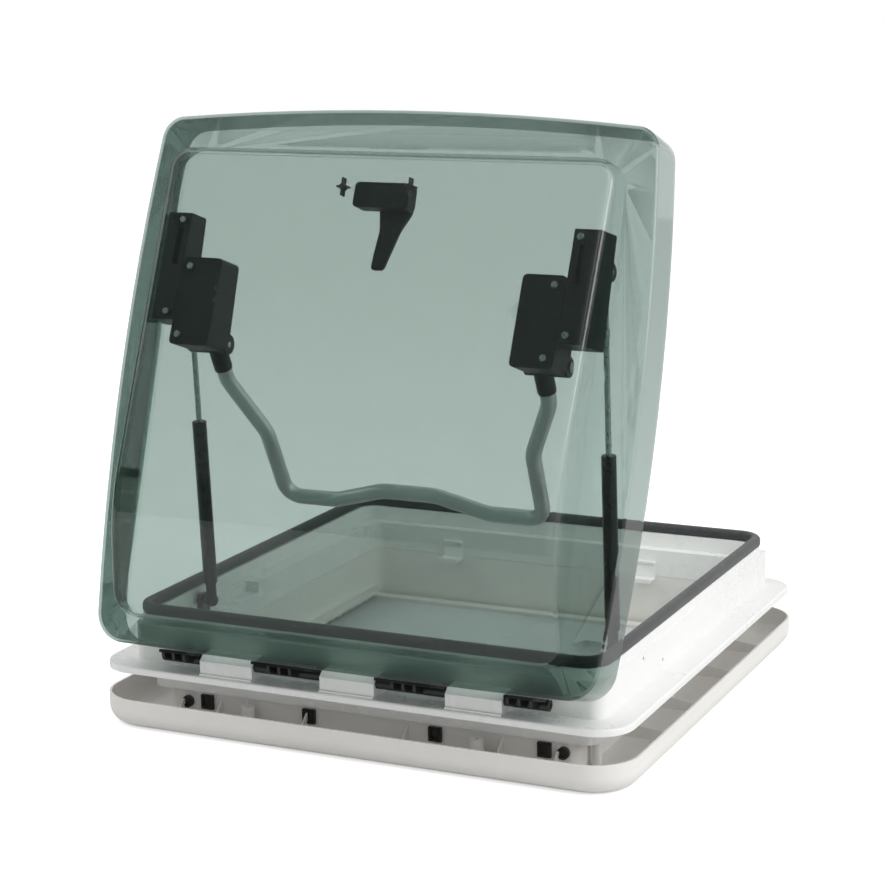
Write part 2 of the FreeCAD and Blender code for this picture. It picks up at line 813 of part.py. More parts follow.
def bail_pin():
    return fuse("right_bail_pin", [
        rod("bail_pin_shank", "x", (pivot_y, pivot_z), ("housing_inner", "housing_outer"), "bail_pin / 2"),
        rod("bail_pin_head", "x", (pivot_y, pivot_z), ("housing_outer + seat_gap", "housing_outer + 2"),
            "bail_pin / 2 + 2"),
        rod("bail_pin_neck", "x", (pivot_y, pivot_z), ("housing_outer - 1", "housing_outer + 1"),
            "bail_pin / 2"),
    ])


# Guide housings: moulded blocks beside them that carry the tops of the gas struts.

def guide_housing():
    front = on_lid("guide_front")
    back = on_lid("guide_back")
    bottom = f"({pane_under} + guide_bottom)"
    top = f"({under_pane(front)} + 1)"
    side_view = prism("guide_side", "x", [
        (front, bottom),
        (back, bottom),
        (back, under_pane(back)),
        (front, under_pane(front)),
    ], ("guide_inner - 1", "guide_inner + 60"))
    end_view = prism("guide_end", "y", [
        ("guide_inner", f"{bottom} - 1"),
        (f"{side_wall_x(bottom)} - 2 * seat_gap", f"{bottom} - 1"),
        (f"{side_wall_x(top)} - 2 * seat_gap - 1", top),
        ("guide_inner", top),
    ], (f"{front} - 1", f"{back} + 1"))
    body = doc.addObject("Part::Common", "guide_body")
    body.Base = side_view
    body.Tool = end_view
    cheek = "(strut_eye_width / 2 + seat_gap + guide_lug_wall)"
    lug = rod("guide_lug_round", "x", (strut_top_y, strut_top_z),
              (f"strut_offset - {cheek}", f"strut_offset + {cheek}"), "guide_lug")
    eye_half = "(strut_eye_width / 2 + seat_gap)"
    slot = block("guide_eye_slot", (f"strut_offset - {eye_half}", f"strut_offset + {eye_half}"),
                 (f"{strut_top_y} - 26", f"{strut_top_y} + guide_lug + 1"),
                 (f"{strut_top_z} - 20", f"{strut_top_z} + strut_eye_radius + 1"))
    window = block("guide_window", ("guide_inner + 7", "guide_inner + 7 + guide_slot"),
                   (f"{strut_top_y} - 20", f"{strut_top_y} + 20"),
                   (f"{under_pane(back)} - 8", f"{under_pane(front)} + 1"))
    bore = rod("guide_bore", "x", (strut_top_y, strut_top_z), ("strut_offset - 20", "strut_offset + 20"),
               "strut_pin / 2 + pin_play")
    holes = [feature("guide_screw_hole", hole) for hole in screw_holes("guide")]
    return cut("right_guide_housing", fuse("guide_solid", [body, lug]), [slot, window, bore] + holes)


def strut_pin():
    cheek = "(strut_eye_width / 2 + seat_gap + guide_lug_wall)"
    shank = rod("strut_pin_shank", "x", (strut_top_y, strut_top_z),
                (f"strut_offset - {cheek}", f"strut_offset + {cheek}"), "strut_pin / 2")
    head = rod("strut_pin_head", "x", (strut_top_y, strut_top_z),
               (f"strut_offset - {cheek} - 1.5", f"strut_offset - {cheek}"), "strut_pin / 2 + 1.5")
    return fuse("right_strut_pin", [shank, head])


pair("bail_housing", bail_housing(), lid_swing)
pair("bail_pin", bail_pin(), lid_swing)
pair("guide_housing", guide_housing(), lid_swing)
pair("strut_pin", strut_pin(), lid_swing)
keep("housing_screws", housing_screws(), lid_swing)


# Bail: a bent tube with a socket at each end, drawn flat with its arms along Y from the pivot.

def rounded_path(corners):
    """Straight runs joined by tangent arcs; each corner gives x, y and its radius."""
    points = [Vector(x, y, 0) for x, y, radius in corners]
    edges = []
    start = points[0]
    for before, here, after, corner in zip(points, points[1:], points[2:], corners[1:]):
        into = (here - before).normalize()
        out = (after - here).normalize()
        half = into.getAngle(out) / 2
        run = corner[2] * math.tan(half)
        middle = here + (out - into).normalize() * (corner[2] / math.cos(half) - corner[2])
        edges.append(Part.LineSegment(start, here - into * run).toShape())
        edges.append(Part.Arc(here - into * run, middle, here + out * run).toShape())
        start = here + out * run
    edges.append(Part.LineSegment(start, points[-1]).toShape())
    return Part.Wire(edges)


def swept(path, radius):
    start = path.OrderedEdges[0].valueAt(path.OrderedEdges[0].FirstParameter)
    circle = Part.Wire([Part.Circle(start, Vector(0, 1, 0), radius).toShape()])
    return path.makePipeShell([circle], True, False)


def bail_tube():
    arm = number("bail_arm")
    lower = number("bail_corner + bail_bend_shift")
    reach = math.hypot(number(catch_y) - number(pivot_y), number("catch_seat_height") - number(pivot_z))
    half = [
        (arm, number("socket_bore_start + seat_gap"), 0),
        (arm, number("bail_bend"), number("bail_arm_radius")),
        (lower, number("bail_bend_end"), number("bail_arm_radius")),
        (number("bail_corner"), reach, number("bail_corner_radius")),
        (number("bail_trough"), reach, number("bail_grip_radius")),
        (number("bail_grip"), reach - number("bail_grip_rise"), number("bail_grip_radius")),
    ]
    path = rounded_path(half + [(-x, y, radius) for x, y, radius in reversed(half)])
    outer = swept(path, number("bail_tube") / 2)
    inner = swept(path, number("bail_tube") / 2 - number("bail_tube_wall"))
    section = math.pi * number("bail_tube") ** 2 / 4
    print(f"bail tube volume over section times length: {outer.Volume / section / path.Length:.4f}")
    return feature("bail_tube", outer.cut(inner))


def bail_socket():
    hub = rod("socket_hub", "x", ("0", "0"),
              ("bail_arm - socket_width / 2", "bail_arm + socket_width / 2"), "socket_radius")
    neck = rod("socket_sleeve", "y", ("bail_arm", "0"), ("0", "socket_length"), "socket_neck / 2")
    seat = rod("socket_seat", "y", ("bail_arm", "0"), ("socket_bore_start", "socket_length + 1"),
               "bail_tube / 2 + pin_play")
    bore = rod("socket_bore", "x", ("0", "0"),
               ("bail_arm - socket_width", "bail_arm + socket_width"), "bail_pin / 2 + pin_play")
    return cut("right_bail_socket", fuse("socket_solid", [hub, neck]), [seat, bore])


pivot = Placement(Vector(0, number(pivot_y), number(pivot_z)),
                  Rotation(Vector(1, 0, 0), number("bail_rest_angle")))
bail_place = lid_swing.multiply(pivot)
keep("bail_tube", bail_tube(), bail_place)
pair("bail_socket", bail_socket(), bail_place)


# Gas struts: drawn along Y from the foot's ball, then stood between the curb and the lid.

strut_foot = Vector(0, number(strut_foot_y), number("strut_foot_height"))
strut_top = lid_swing.multVec(Vector(0, number(strut_top_y), number(strut_top_z)))
strut_length = (strut_top - strut_foot).Length
lean = math.degrees(math.atan2(strut_top.z - strut_foot.z, strut_top.y - strut_foot.y))
print(f"strut foot {strut_foot}, top {strut_top}, length {strut_length:.3f}, lean {lean:.3f}")
print(f"bail pivot {lid_swing.multVec(Vector(0, number(pivot_y), number(pivot_z)))}")
strut_place = Placement(strut_foot, Rotation(Vector(1, 0, 0), lean))
strut_end = "(strut_foot_length + strut_tube_length)"


def strut_cylinder():
    tube = round_edges("strut_tube_body", rod("strut_tube_bar", "y", ("strut_offset", "0"),
                       ("strut_foot_length", strut_end), "strut_tube / 2"), "strut_tube_edge",
                       lambda edge: edge.Curve.TypeId == "Part::GeomCircle")
    chamber = rod("strut_chamber", "y", ("strut_offset", "0"),
                  ("strut_foot_length + 6", f"{strut_end} - 6"), "strut_tube / 2 - strut_tube_wall")
    mouth = rod("strut_mouth", "y", ("strut_offset", "0"), (f"{strut_end} - 8", f"{strut_end} + 1"),
                "strut_rod / 2 + pin_play")
    return cut("right_strut_cylinder", tube, [chamber, mouth])


def strut_rod():
    low = f"{strut_length} - strut_rod_length"
    shaft = rod("strut_shaft", "y", ("strut_offset", "0"), (low, f"{strut_length} - strut_eye_radius - 3"),
                "strut_rod / 2")
    piston = rod("strut_piston", "y", ("strut_offset", "0"), (low, f"{low} + 8"),
                 "strut_tube / 2 - strut_tube_wall - seat_gap")
    return fuse("right_strut_rod", [shaft, piston])


def strut_eye():
    centre = str(strut_length)
    flat_x = ("strut_offset - strut_eye_width / 2", "strut_offset + strut_eye_width / 2")
    loop = rod("eye_loop", "x", (centre, "0"), flat_x, "strut_eye_radius")
    neck = rod("eye_neck", "y", ("strut_offset", "0"), (f"{centre} - 22", centre),
               "strut_eye_width / 2 + 0.8")
    flats = block("eye_flats", flat_x, (f"{centre} - 23", f"{centre} + 20"), ("-20", "20"))
    both = doc.addObject("Part::Common", "eye_body")
    both.Base = fuse("eye_solid", [loop, neck])
    both.Tool = flats
    seat = rod("eye_seat", "y", ("strut_offset", "0"),
               (f"{centre} - 23", f"{centre} - strut_eye_radius - 3 + seat_gap"), "strut_rod / 2 + pin_play")
    bore = rod("eye_bore", "x", (centre, "0"), ("strut_offset - 10", "strut_offset + 10"),
               "strut_pin / 2 + pin_play")
    return cut("right_strut_eye", both, [seat, bore])


def strut_foot_piece():
    socket = ball("foot_ball", ("strut_offset", "0", "0"), "strut_ball / 2 + 2")
    stem = rod("foot_stem", "y", ("strut_offset", "0"), ("0", "strut_foot_length"), "strut_tube / 2 - 2")
    seat = ball("foot_seat", ("strut_offset", "0", "0"), "strut_ball / 2 + seat_gap")
    mouth = rod("foot_mouth", "x", ("0", "0"), ("strut_offset", "strut_offset + 10"), "strut_ball / 2 - 1")
    return cut("right_strut_foot", fuse("foot_solid", [socket, stem]), [seat, mouth])


def ball_stud():
    head = ball("stud_ball", ("strut_offset", "0", "0"), "strut_ball / 2")
    shank = rod("stud_shank", "x", ("0", "0"), ("strut_offset", "strut_offset + strut_tube / 2"),
                "strut_ball / 2 - 2")
    return fuse("right_ball_stud", [head, shank])


def strut_bracket():
    """A plate on the pocket's wall, beside the ball stud; the stud's end runs just clear of it."""
    face = "strut_offset + strut_tube / 2 + seat_gap"
    plate = block("bracket_plate", (face, pocket_far),
                  (f"{strut_foot_y} - 9", f"{strut_foot_y} + 9"), ("pocket_floor", "strut_foot_height + 7"))
    return round_edges("right_strut_bracket", plate, "block_corner",
                       lambda edge: abs(edge.tangentAt(edge.FirstParameter).x) > 0.9
                       and edge.CenterOfMass.z > number("strut_foot_height"))


pair("strut_cylinder", strut_cylinder(), strut_place)
pair("strut_foot", strut_foot_piece(), strut_place)
pair("ball_stud", ball_stud(), strut_place)
pair("strut_rod", strut_rod(), strut_place)
pair("strut_eye", strut_eye(), strut_place)
pair("strut_bracket", strut_bracket())


# Latch: a fixed base under the pane with a lever that turns below it.

latch_y = on_lid("latch_distance")
latch_back = f"({latch_y} - 10 + latch_base_depth)"
latch_under = f"({under_pane(latch_back)} - latch_base_drop)"
latch_tip = f"({latch_y} - latch_lever_length)"


def latch_base():
    front = f"({latch_y} - 10)"
    body = round_edges("latch_base_body", prism("latch_base_side", "x", [
        (front, latch_under),
        (latch_back, latch_under),
        (latch_back, under_pane(latch_back)),
        (front, under_pane(front)),
    ], both_sides("(latch_base_width / 2)")), "block_corner", upright)
    bore = rod("latch_bore", "z", ("0", latch_y), (f"{latch_under} - 1", f"{latch_under} + 9"),
               "latch_spindle / 2 + pin_play")
    return cut("latch_base", body, [bore])


def latch_lever():
    top = f"({latch_under} - seat_gap)"
    arm = tile("latch_arm", both_sides("(latch_lever_width / 2)"),
               (latch_tip, f"{latch_y} + latch_lever_width / 2"),
               (f"{top} - latch_lever_thick", top), "latch_lever_width / 2 - 0.1")
    lip = tile("latch_lip", both_sides("(latch_lever_width / 2 - 2)"),
               (f"{latch_tip} + 2", f"{latch_tip} + 6"),
               (f"{top} - latch_lever_thick - 6", f"{top} - 1"), "1.5")
    bore = rod("lever_bore", "z", ("0", latch_y), (f"{top} - 20", f"{top} + 1"),
               "latch_spindle / 2 + pin_play")
    return cut("latch_lever", fuse("lever_solid", [arm, lip]), [bore])


def latch_spindle():
    low = f"({latch_under} - seat_gap - latch_lever_thick)"
    shank = rod("spindle_shank", "z", ("0", latch_y), (f"{low} - 1", f"{latch_under} + 8.5"),
                "latch_spindle / 2")
    head = rod("spindle_head", "z", ("0", latch_y), (f"{low} - 2", low), "latch_spindle / 2 + 2")
    return fuse("latch_spindle", [shank, head])


keep("latch_base", latch_base(), lid_swing)
keep("latch_lever", latch_lever(), lid_swing)
keep("latch_spindle", latch_spindle(), lid_swing)


# Spacer pillars: finned posts that hold the dome off the pane.

# How far from the middle and how far up the lid each pair stands, over the housings and the latch.
housing_middle = "((housing_front + housing_back) / 2 + pillar_fin)"
PILLARS = (
    ("strut_offset - pillar_radius", "guide_back - guide_screw_inset - pillar_radius"),
    ("housing_outer", housing_middle),
    ("housing_inner", housing_middle),
    ("latch_base_width / 2 - pillar_radius", "latch_distance + pillar_fin"),
)


def spacer_pillars():
    posts = []
    for x, distance in PILLARS:
        for side in (1, -1):
            y = on_lid(distance)
            centre = f"{side} * ({x})"
            post = rod("pillar", "z", (centre, y), (pane_under, f"{rim_top} + 100"), "pillar_radius")
            fin = "pillar_fin_thick / 2"
            fins = [block("pillar_fin_a", (f"{centre} - pillar_fin", f"{centre} + pillar_fin"),
                          (f"{y} - {fin}", f"{y} + {fin}"), (pane_under, f"{rim_top} + 100")),
                    block("pillar_fin_b", (f"{centre} - {fin}", f"{centre} + {fin}"),
                          (f"{y} - pillar_fin", f"{y} + pillar_fin"), (pane_under, f"{rim_top} + 100"))]
            posts.append(fuse("pillar_post", [post] + fins))
    low = "wall + pane_drop - seat_gap"
    high = "wall + seat_gap"
    front = on_lid("housing_front")
    back = back_crest
    slab = prism("pillar_slab", "x", [
        (front, slope_height(front, low)),
        (back, slope_height(back, low)),
        (back, slope_height(back, high)),
        (front, slope_height(front, high)),
    ], both_sides(lid_x))
    both = doc.addObject("Part::Common", "spacer_pillars")
    both.Base = fuse("pillar_posts", posts)
    both.Tool = slab
    return both


keep("spacer_pillars", spacer_pillars(), lid_swing)


# Bail catches: hooks on the free side's inner wall that hold the closed bail.

def bail_catch(centre):
    radius = "bail_tube / 2"
    seat_low = f"(catch_seat_height - {radius} - seat_gap)"
    tip_in = f"({catch_y} - {radius} - seat_gap)"
    plate = f"({open_y} - catch_plate)"
    outline = [
        (open_y, f"{seat_low} - catch_lip"),
        (f"{tip_in} - catch_lip", f"{seat_low} - catch_lip"),
        (f"{tip_in} - catch_lip", f"{seat_low} + catch_hook"),
        (tip_in, f"{seat_low} + catch_hook"),
        (tip_in, seat_low),
        (plate, seat_low),
        (plate, "catch_top - catch_lip"),
        (f"{plate} - 2", "catch_top - catch_lip"),
        (f"{plate} - 2", "catch_top"),
        (open_y, "catch_top"),
    ]
    return prism("catch_side", "x", outline, (f"{centre} - catch_width / 2", f"{centre} + catch_width / 2"))


keep("right_bail_catch", bail_catch("catch_spacing"))
keep("left_bail_catch", bail_catch("-catch_spacing"))


# Ceiling trim: a moulded tray with an inner lining, gussets and bosses for the clamp screws.

trim_x = f"({flange_x} + trim_overhang)"
lining_x = f"({open_x} + trim_skin)"
lining_y = f"({open_y} + trim_skin)"
floor_z = "(-trim_depth + trim_skin)"
clamp_x = f"({open_x} + side_channel / 2)"
CLAMPS = [(f"{side} * {clamp_x}", y) for side in (1, -1) for y in ("-clamp_spacing", "0", "clamp_spacing")]


def trim_shell(name, inset, low, high):
    half = f"({trim_x} - ({inset}))"
    radius = f"(trim_radius - ({inset}))"
    return round_edges(name, tile(name + "_body", both_sides(half), both_sides(half), (low, high), radius),
                       f"trim_edge - ({inset})", at_height(low))


# Where the gussets and posts stand, as shares of the lining's half width or half length.
END_GUSSETS = (-0.915, -0.723, -0.593, -0.287, 0.205, 0.654, 0.915)
SIDE_GUSSETS = (-0.487, -0.082, 0.405, 0.818)
POSTS = [(f"{side} * {lining_x} * 0.558", f"{end} * ({lining_y} + post_out)")
         for side in (1, -1) for end in (1, -1)]


def end_gusset(x, side):
    wall_y = f"({lining_y} - 0.5)"
    base = f"({floor_z} - 0.5)"
    outline = [(f"{side} * {wall_y}", base), (f"{side} * ({lining_y} + gusset_reach)", base),
               (f"{side} * {wall_y}", f"{base} + gusset_height")]
    return prism("end_gusset", "x", outline, (f"{x} - gusset_thick / 2", f"{x} + gusset_thick / 2"))


def side_gusset(y, side):
    """A stepped plate: a tall leg on the lining and a low foot along the tray."""
    wall_x = f"({lining_x} - 0.5)"
    leg_x = f"({lining_x} + side_channel / 2)"
    base = f"({floor_z} - 0.5)"
    foot = f"({base} + step_foot)"
    top = f"({base} + step_height)"
    outline = [(f"{side} * {wall_x}", base), (f"{side} * ({lining_x} + step_reach)", base),
               (f"{side} * ({lining_x} + step_reach)", foot), (f"{side} * {leg_x}", f"{foot} + 4"),
               (f"{side} * {leg_x}", top), (f"{side} * {wall_x}", top)]
    return prism("side_gusset", "y", outline, (f"{y} - gusset_thick / 2", f"{y} + gusset_thick / 2"))


def ceiling_trim():
    outer = trim_shell("tray_outer", "0", "-trim_depth", "-trim_rim_depth")
    inner = trim_shell("tray_inner", "trim_skin", floor_z, "-trim_rim_depth + 1")
    tray = cut("tray", outer, [inner])
    lining = tile("trim_lining", both_sides(lining_x), both_sides(lining_y),
                  ("-trim_depth", "joint_height - seat_gap"), "opening_radius + trim_skin")
    gussets = [end_gusset(f"{lining_x} * {share}", side) for side in (1, -1) for share in END_GUSSETS]
    gussets += [side_gusset(f"{lining_y} * {share}", side) for side in (1, -1) for share in SIDE_GUSSETS]
    foot = f"{floor_z} - 0.5"
    posts = [rod("trim_post", "z", place, (foot, "-post_top"), "post_radius") for place in POSTS]
    bosses = [rod("clamp_boss", "z", place, (foot, "-2"), "clamp_boss / 2") for place in CLAMPS]
    solid = fuse("trim_solid", [tray, lining] + gussets + bosses + posts)
    opening = tile("trim_opening", both_sides(open_x), both_sides(open_y),
                   ("-trim_depth - 1", "joint_height + 1"), "opening_radius")
    bores = [rod("clamp_bore", "z", place, ("-trim_depth - 1", "0"), "clamp_screw / 2 + pin_play")
             for place in CLAMPS]
    sinks = [rod("clamp_sink", "z", place, ("-trim_depth - 1", "-trim_depth + 6"), "clamp_head / 2 + 0.3")
             for place in CLAMPS]
    bores += [rod("post_bore", "z", place, (floor_z, "0"), "clamp_screw / 2") for place in POSTS]
    return cut("ceiling_trim", solid, [opening] + bores + sinks)


def clamp_screws():
    screws = []
    for place in CLAMPS:
        shank = rod("clamp_shank", "z", place, ("-trim_depth + 5", "joint_height + 18"), "clamp_screw / 2")
        head = rod("clamp_cap", "z", place,
                   ("-trim_depth + 6 - clamp_head_height", "-trim_depth + 6"), "clamp_head / 2")
        screws.append(fuse("clamp_screw", [shank, head]))
    doc.recompute()
    return feature("clamp_screws", Part.makeCompound([screw.Shape for screw in screws]))


keep("ceiling_trim", ceiling_trim())
keep("clamp_screws", clamp_screws())


# Blinds: a flyscreen drawn across the opening, and above it a blind folded at the hinge side.

rail_end = f"({open_y} - opening_radius - 1)"
bar_x = f"({open_x} - rail_wall - rail_gap)"


def guide_rail():
    half = "(bar_height / 2 + rail_gap)"
    body = block("rail_body", (f"{open_x} - rail_width", open_x), both_sides(rail_end),
                 (f"-screen_level - {half} - rail_wall", f"-blind_level + {half} + rail_wall"))
    slots = [block("rail_slot", (f"{open_x} - rail_width - 1", f"{open_x} - rail_wall"),
                   (f"-{rail_end} - 1", f"{rail_end} + 1"), (f"-{level} - {half}", f"-{level} + {half}"))
             for level in ("screen_level", "blind_level")]
    return cut("right_guide_rail", body, slots)


def blind_cassette():
    inner = f"-({rail_end} + 0.3)"
    return block("blind_cassette", both_sides(f"({open_x} - opening_radius - 1)"),
                 (f"{inner} - cassette_depth", inner),
                 ("-screen_level - bar_height / 2", "-blind_level + bar_height / 2"))


def pleats(name, start, end, level, count, height):
    """A sheet folded to and fro in Y, hanging about one level."""
    thick = number("pleat_thick")
    first = number(start)
    step = (number(end) - first) / (2 * count)
    middle = -number(level)
    half = number(height) / 2
    upper = [Vector(0, first + i * step, middle + (half if i % 2 else -half) + thick / 2)
             for i in range(2 * count + 1)]
    lower = [point - Vector(0, 0, thick) for point in reversed(upper)]
    outline = upper + lower + upper[:1]
    face = Part.Face(Part.makePolygon(outline))
    width = number(f"2 * {open_x} - 2 * rail_wall - 4 * rail_gap")
    face.translate(Vector(-width / 2, 0, 0))
    return feature(name, face.extrude(Vector(width, 0, 0)))


def pull_bar(name, level, rest, grip_side):
    """A bar across the rails with a finger grip in the middle."""
    centre = f"({rest})"
    bar = block(name + "_bar", both_sides(bar_x),
                (f"{centre} - bar_depth / 2", f"{centre} + bar_depth / 2"),
                (f"-{level} - bar_height / 2", f"-{level} + bar_height / 2"))
    edge = f"({centre} + {grip_side} * bar_depth / 2)"
    spans = [f"{edge} + {grip_side} * grip_depth", f"{edge} - {grip_side} * 4"]
    low = f"-{level} - bar_height / 2"
    grip = tile(name + "_grip", both_sides("(grip_width / 2)"), spans if grip_side < 0 else spans[::-1],
                (f"{low} - grip_drop", f"{low} + seat_gap"), "grip_drop")
    return fuse(name, [bar, grip])


screen_front = f"-{rail_end}"
keep("right_guide_rail", guide_rail())
keep("left_guide_rail", mirrored("left_guide_rail", final["right_guide_rail"]))
keep("blind_cassette", blind_cassette())
keep("flyscreen_bar", pull_bar("flyscreen_bar", "screen_level", "screen_bar_rest", -1))
keep("flyscreen_pleats", pleats("flyscreen_pleats", screen_front,
                                "screen_bar_rest - bar_depth / 2 - seat_gap", "screen_level",
                                SIZES["pleat_count"], "pleat_height"))
keep("blind_bar", pull_bar("blind_bar", "blind_level", "-blind_bar_rest", 1))
keep("blind_pleats", pleats("blind_pleats", screen_front,
                            "-blind_bar_rest - bar_depth / 2 - seat_gap", "blind_level",
                            SIZES["stack_count"], "stack_height"))


def check_model():
    doc.recompute()
    failed = [item.Label for item in doc.Objects if {"Invalid", "Error"} & set(item.State)]
    if failed:
        raise RuntimeError(f"these did not build: {failed}")
    for name, item in final.items():
        if item.Shape.isNull() or not item.Shape.isValid():
            raise RuntimeError(f"{name} has no valid shape")


def write_parts():
    os.makedirs("parts", exist_ok=True)
    for name, item in final.items():
        item.Shape.exportStep(f"parts/{name}.step")
        box = item.Shape.BoundBox
        print(f"{name}: {len(item.Shape.Solids)} solids, {item.Shape.Volume / 1000:.1f} cm3, "
              f"x {box.XMin:.1f} {box.XMax:.1f}, y {box.YMin:.1f} {box.YMax:.1f}, "
              f"z {box.ZMin:.1f} {box.ZMax:.1f}")


check_model()
write_parts()
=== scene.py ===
import math
import bpy
import bmesh
from mathutils import Matrix, Vector


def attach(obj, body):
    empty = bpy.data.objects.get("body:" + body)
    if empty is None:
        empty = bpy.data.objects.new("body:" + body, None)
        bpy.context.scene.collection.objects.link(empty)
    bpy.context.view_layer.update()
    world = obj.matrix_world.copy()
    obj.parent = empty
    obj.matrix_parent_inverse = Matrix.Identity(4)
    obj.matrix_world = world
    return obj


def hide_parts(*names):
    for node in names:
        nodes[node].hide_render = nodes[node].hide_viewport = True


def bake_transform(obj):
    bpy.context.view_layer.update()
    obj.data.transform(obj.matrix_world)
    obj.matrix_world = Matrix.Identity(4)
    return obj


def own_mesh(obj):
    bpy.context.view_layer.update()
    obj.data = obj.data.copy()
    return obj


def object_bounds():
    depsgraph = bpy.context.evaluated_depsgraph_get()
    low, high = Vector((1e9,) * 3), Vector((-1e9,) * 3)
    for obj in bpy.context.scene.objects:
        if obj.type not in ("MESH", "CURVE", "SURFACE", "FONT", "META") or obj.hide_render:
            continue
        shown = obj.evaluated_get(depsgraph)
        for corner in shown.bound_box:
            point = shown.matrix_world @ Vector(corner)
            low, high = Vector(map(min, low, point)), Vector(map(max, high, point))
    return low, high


# %% [markdown]
# # A roof skylight for a caravan or camper
# The skylight is a white moulded roof frame, a tinted double lid that swings up on a hinge,
# and a ceiling trim below. Between the trim and the frame the roof itself would sit.
# The CAD model gives every hard piece its place, so this file loads it first and then
# dresses it: cloth for the flyscreen and the blind, small moulded details, and a finish
# for each material. Everything is in metres. The front is the hinge's side, at low y.

# %% Load the fixed frame
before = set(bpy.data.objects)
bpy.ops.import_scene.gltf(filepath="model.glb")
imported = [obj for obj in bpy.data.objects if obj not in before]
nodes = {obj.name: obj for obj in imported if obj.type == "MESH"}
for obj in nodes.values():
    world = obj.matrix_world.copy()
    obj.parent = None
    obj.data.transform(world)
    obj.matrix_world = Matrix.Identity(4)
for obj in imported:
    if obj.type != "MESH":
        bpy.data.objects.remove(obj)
cad_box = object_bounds()
print("CAD pieces:", len(nodes))

# %% [markdown]
# ## The camera
# A photograph of a product like this is taken with a long lens from a few metres away, so
# that parallel edges stay nearly parallel. The place, the tilt and the lens below were
# solved from corners of the frame whose sizes are known. A small roll remains, as in most
# hand-set cameras.

# %% Place the camera
AZIMUTH = math.radians(24.89)
ELEVATION = math.radians(12.07)
ROLL = math.radians(-0.73)
FOCUS_PIXELS = 2289.5
IMAGE_SIDE = 885
SENSOR = 36.0
CAMERA_PLACE = Vector((0.9976, -2.2023, 0.7225))

backwards = Vector((
    math.sin(AZIMUTH) * math.cos(ELEVATION),
    -math.cos(AZIMUTH) * math.cos(ELEVATION),
    math.sin(ELEVATION),
))
level_right = Vector((math.cos(AZIMUTH), math.sin(AZIMUTH), 0))
level_up = backwards.cross(level_right)
right = level_right * math.cos(ROLL) + level_up * math.sin(ROLL)
up = level_up * math.cos(ROLL) - level_right * math.sin(ROLL)

lens = bpy.data.cameras.new("photo_camera")
lens.sensor_width = SENSOR
lens.lens = FOCUS_PIXELS / IMAGE_SIDE * SENSOR
camera = bpy.data.objects.new("photo_camera", lens)
camera.matrix_world = Matrix((right, up, backwards)).transposed().to_4x4()
camera.location = CAMERA_PLACE
bpy.context.scene.collection.objects.link(camera)
bpy.context.scene.camera = camera
print("lens", round(lens.lens, 1), "mm")

# %% [markdown]
# ## The room: floor, walls of light and lamps
# A pack shot stands on a white sweep under large soft lamps. The floor here is a plain
# plane. It is pale, and for the camera and through glass it also glows, so that it comes
# out white while it still takes the shadow. The world does the same. A mirror face sees a
# room that is bright on the right and above, and dark on the left and below, as in a
# studio, or the black parts behind the tinted lid would look washed out. The floor's glow
# isn't sampled as a lamp, which would leave too few samples for the real ones.
# The Standard view transform keeps each colour as it is written.

# %% View and first helpers
bpy.context.scene.view_settings.view_transform = "Standard"
fresh = bpy.data.materials.new


def node_tree(material):
    """An empty tree with its output, ready for nodes."""
    material.use_nodes = True
    tree = material.node_tree
    tree.nodes.clear()
    output = tree.nodes.new("ShaderNodeOutputMaterial")
    return tree, output


def calc(tree, operation, *values):
    """One step of arithmetic on sockets or plain numbers."""
    node = tree.nodes.new("ShaderNodeMath")
    node.operation = operation
    for socket, value in zip(node.inputs, values):
        if isinstance(value, (int, float)):
            socket.default_value = value
        else:
            tree.links.new(value, socket)
    return node.outputs[0]


def seen_directly(tree):
    """One where a ray comes from the camera or through a glass, and nought elsewhere."""
    path = tree.nodes.new("ShaderNodeLightPath")
    return calc(tree, "MAXIMUM", path.outputs["Is Camera Ray"], path.outputs["Is Transmission Ray"])


# %% Floor
FLOOR_SIZE = 14
FLOOR_PAINT = (0.8, 0.8, 0.8, 1)
FLOOR_GLOW = 0.56
floor_level = cad_box[0][2]
bpy.ops.mesh.primitive_plane_add(size=FLOOR_SIZE, location=(0, 0, floor_level))
floor = bpy.context.object
floor.name = "studio_floor"
floor_paint = fresh("studio_floor_paint")
tree, output = node_tree(floor_paint)
matt = tree.nodes.new("ShaderNodeBsdfDiffuse")
matt.inputs["Color"].default_value = FLOOR_PAINT
glow = tree.nodes.new("ShaderNodeEmission")
both = tree.nodes.new("ShaderNodeAddShader")
tree.links.new(calc(tree, "MULTIPLY", seen_directly(tree), FLOOR_GLOW), glow.inputs["Strength"])
tree.links.new(matt.outputs[0], both.inputs[0])
tree.links.new(glow.outputs[0], both.inputs[1])
tree.links.new(both.outputs[0], output.inputs["Surface"])
floor_paint.cycles.emission_sampling = "NONE"
floor.data.materials.append(floor_paint)
print("floor at", round(floor_level, 4), "m")

# %% World of soft light
WHITE = (1, 1, 1, 1)
ROOM_SOFT = (0.30, 0.80)
ROOM_MIRROR = (0.0, 1.0)
BRIGHT_SIDE = Vector((0.7, 0.5, 0.5))
FADE_HALF = 0.6
world = bpy.data.worlds.new("studio_world")
bpy.context.scene.world = world
world.use_nodes = True
tree = world.node_tree
tree.nodes.clear()
output = tree.nodes.new("ShaderNodeOutputWorld")
sky = tree.nodes.new("ShaderNodeBackground")
sky.inputs["Color"].default_value = WHITE
direct = seen_directly(tree)
glossy_ray = tree.nodes.new("ShaderNodeLightPath").outputs["Is Glossy Ray"]
in_mirror = calc(tree, "MULTIPLY", glossy_ray, calc(tree, "SUBTRACT", 1.0, direct))
look = tree.nodes.new("ShaderNodeTexCoord").outputs["Generated"]
facing = tree.nodes.new("ShaderNodeVectorMath")
facing.operation = "DOT_PRODUCT"
facing.inputs[1].default_value = BRIGHT_SIDE
tree.links.new(look, facing.inputs[0])


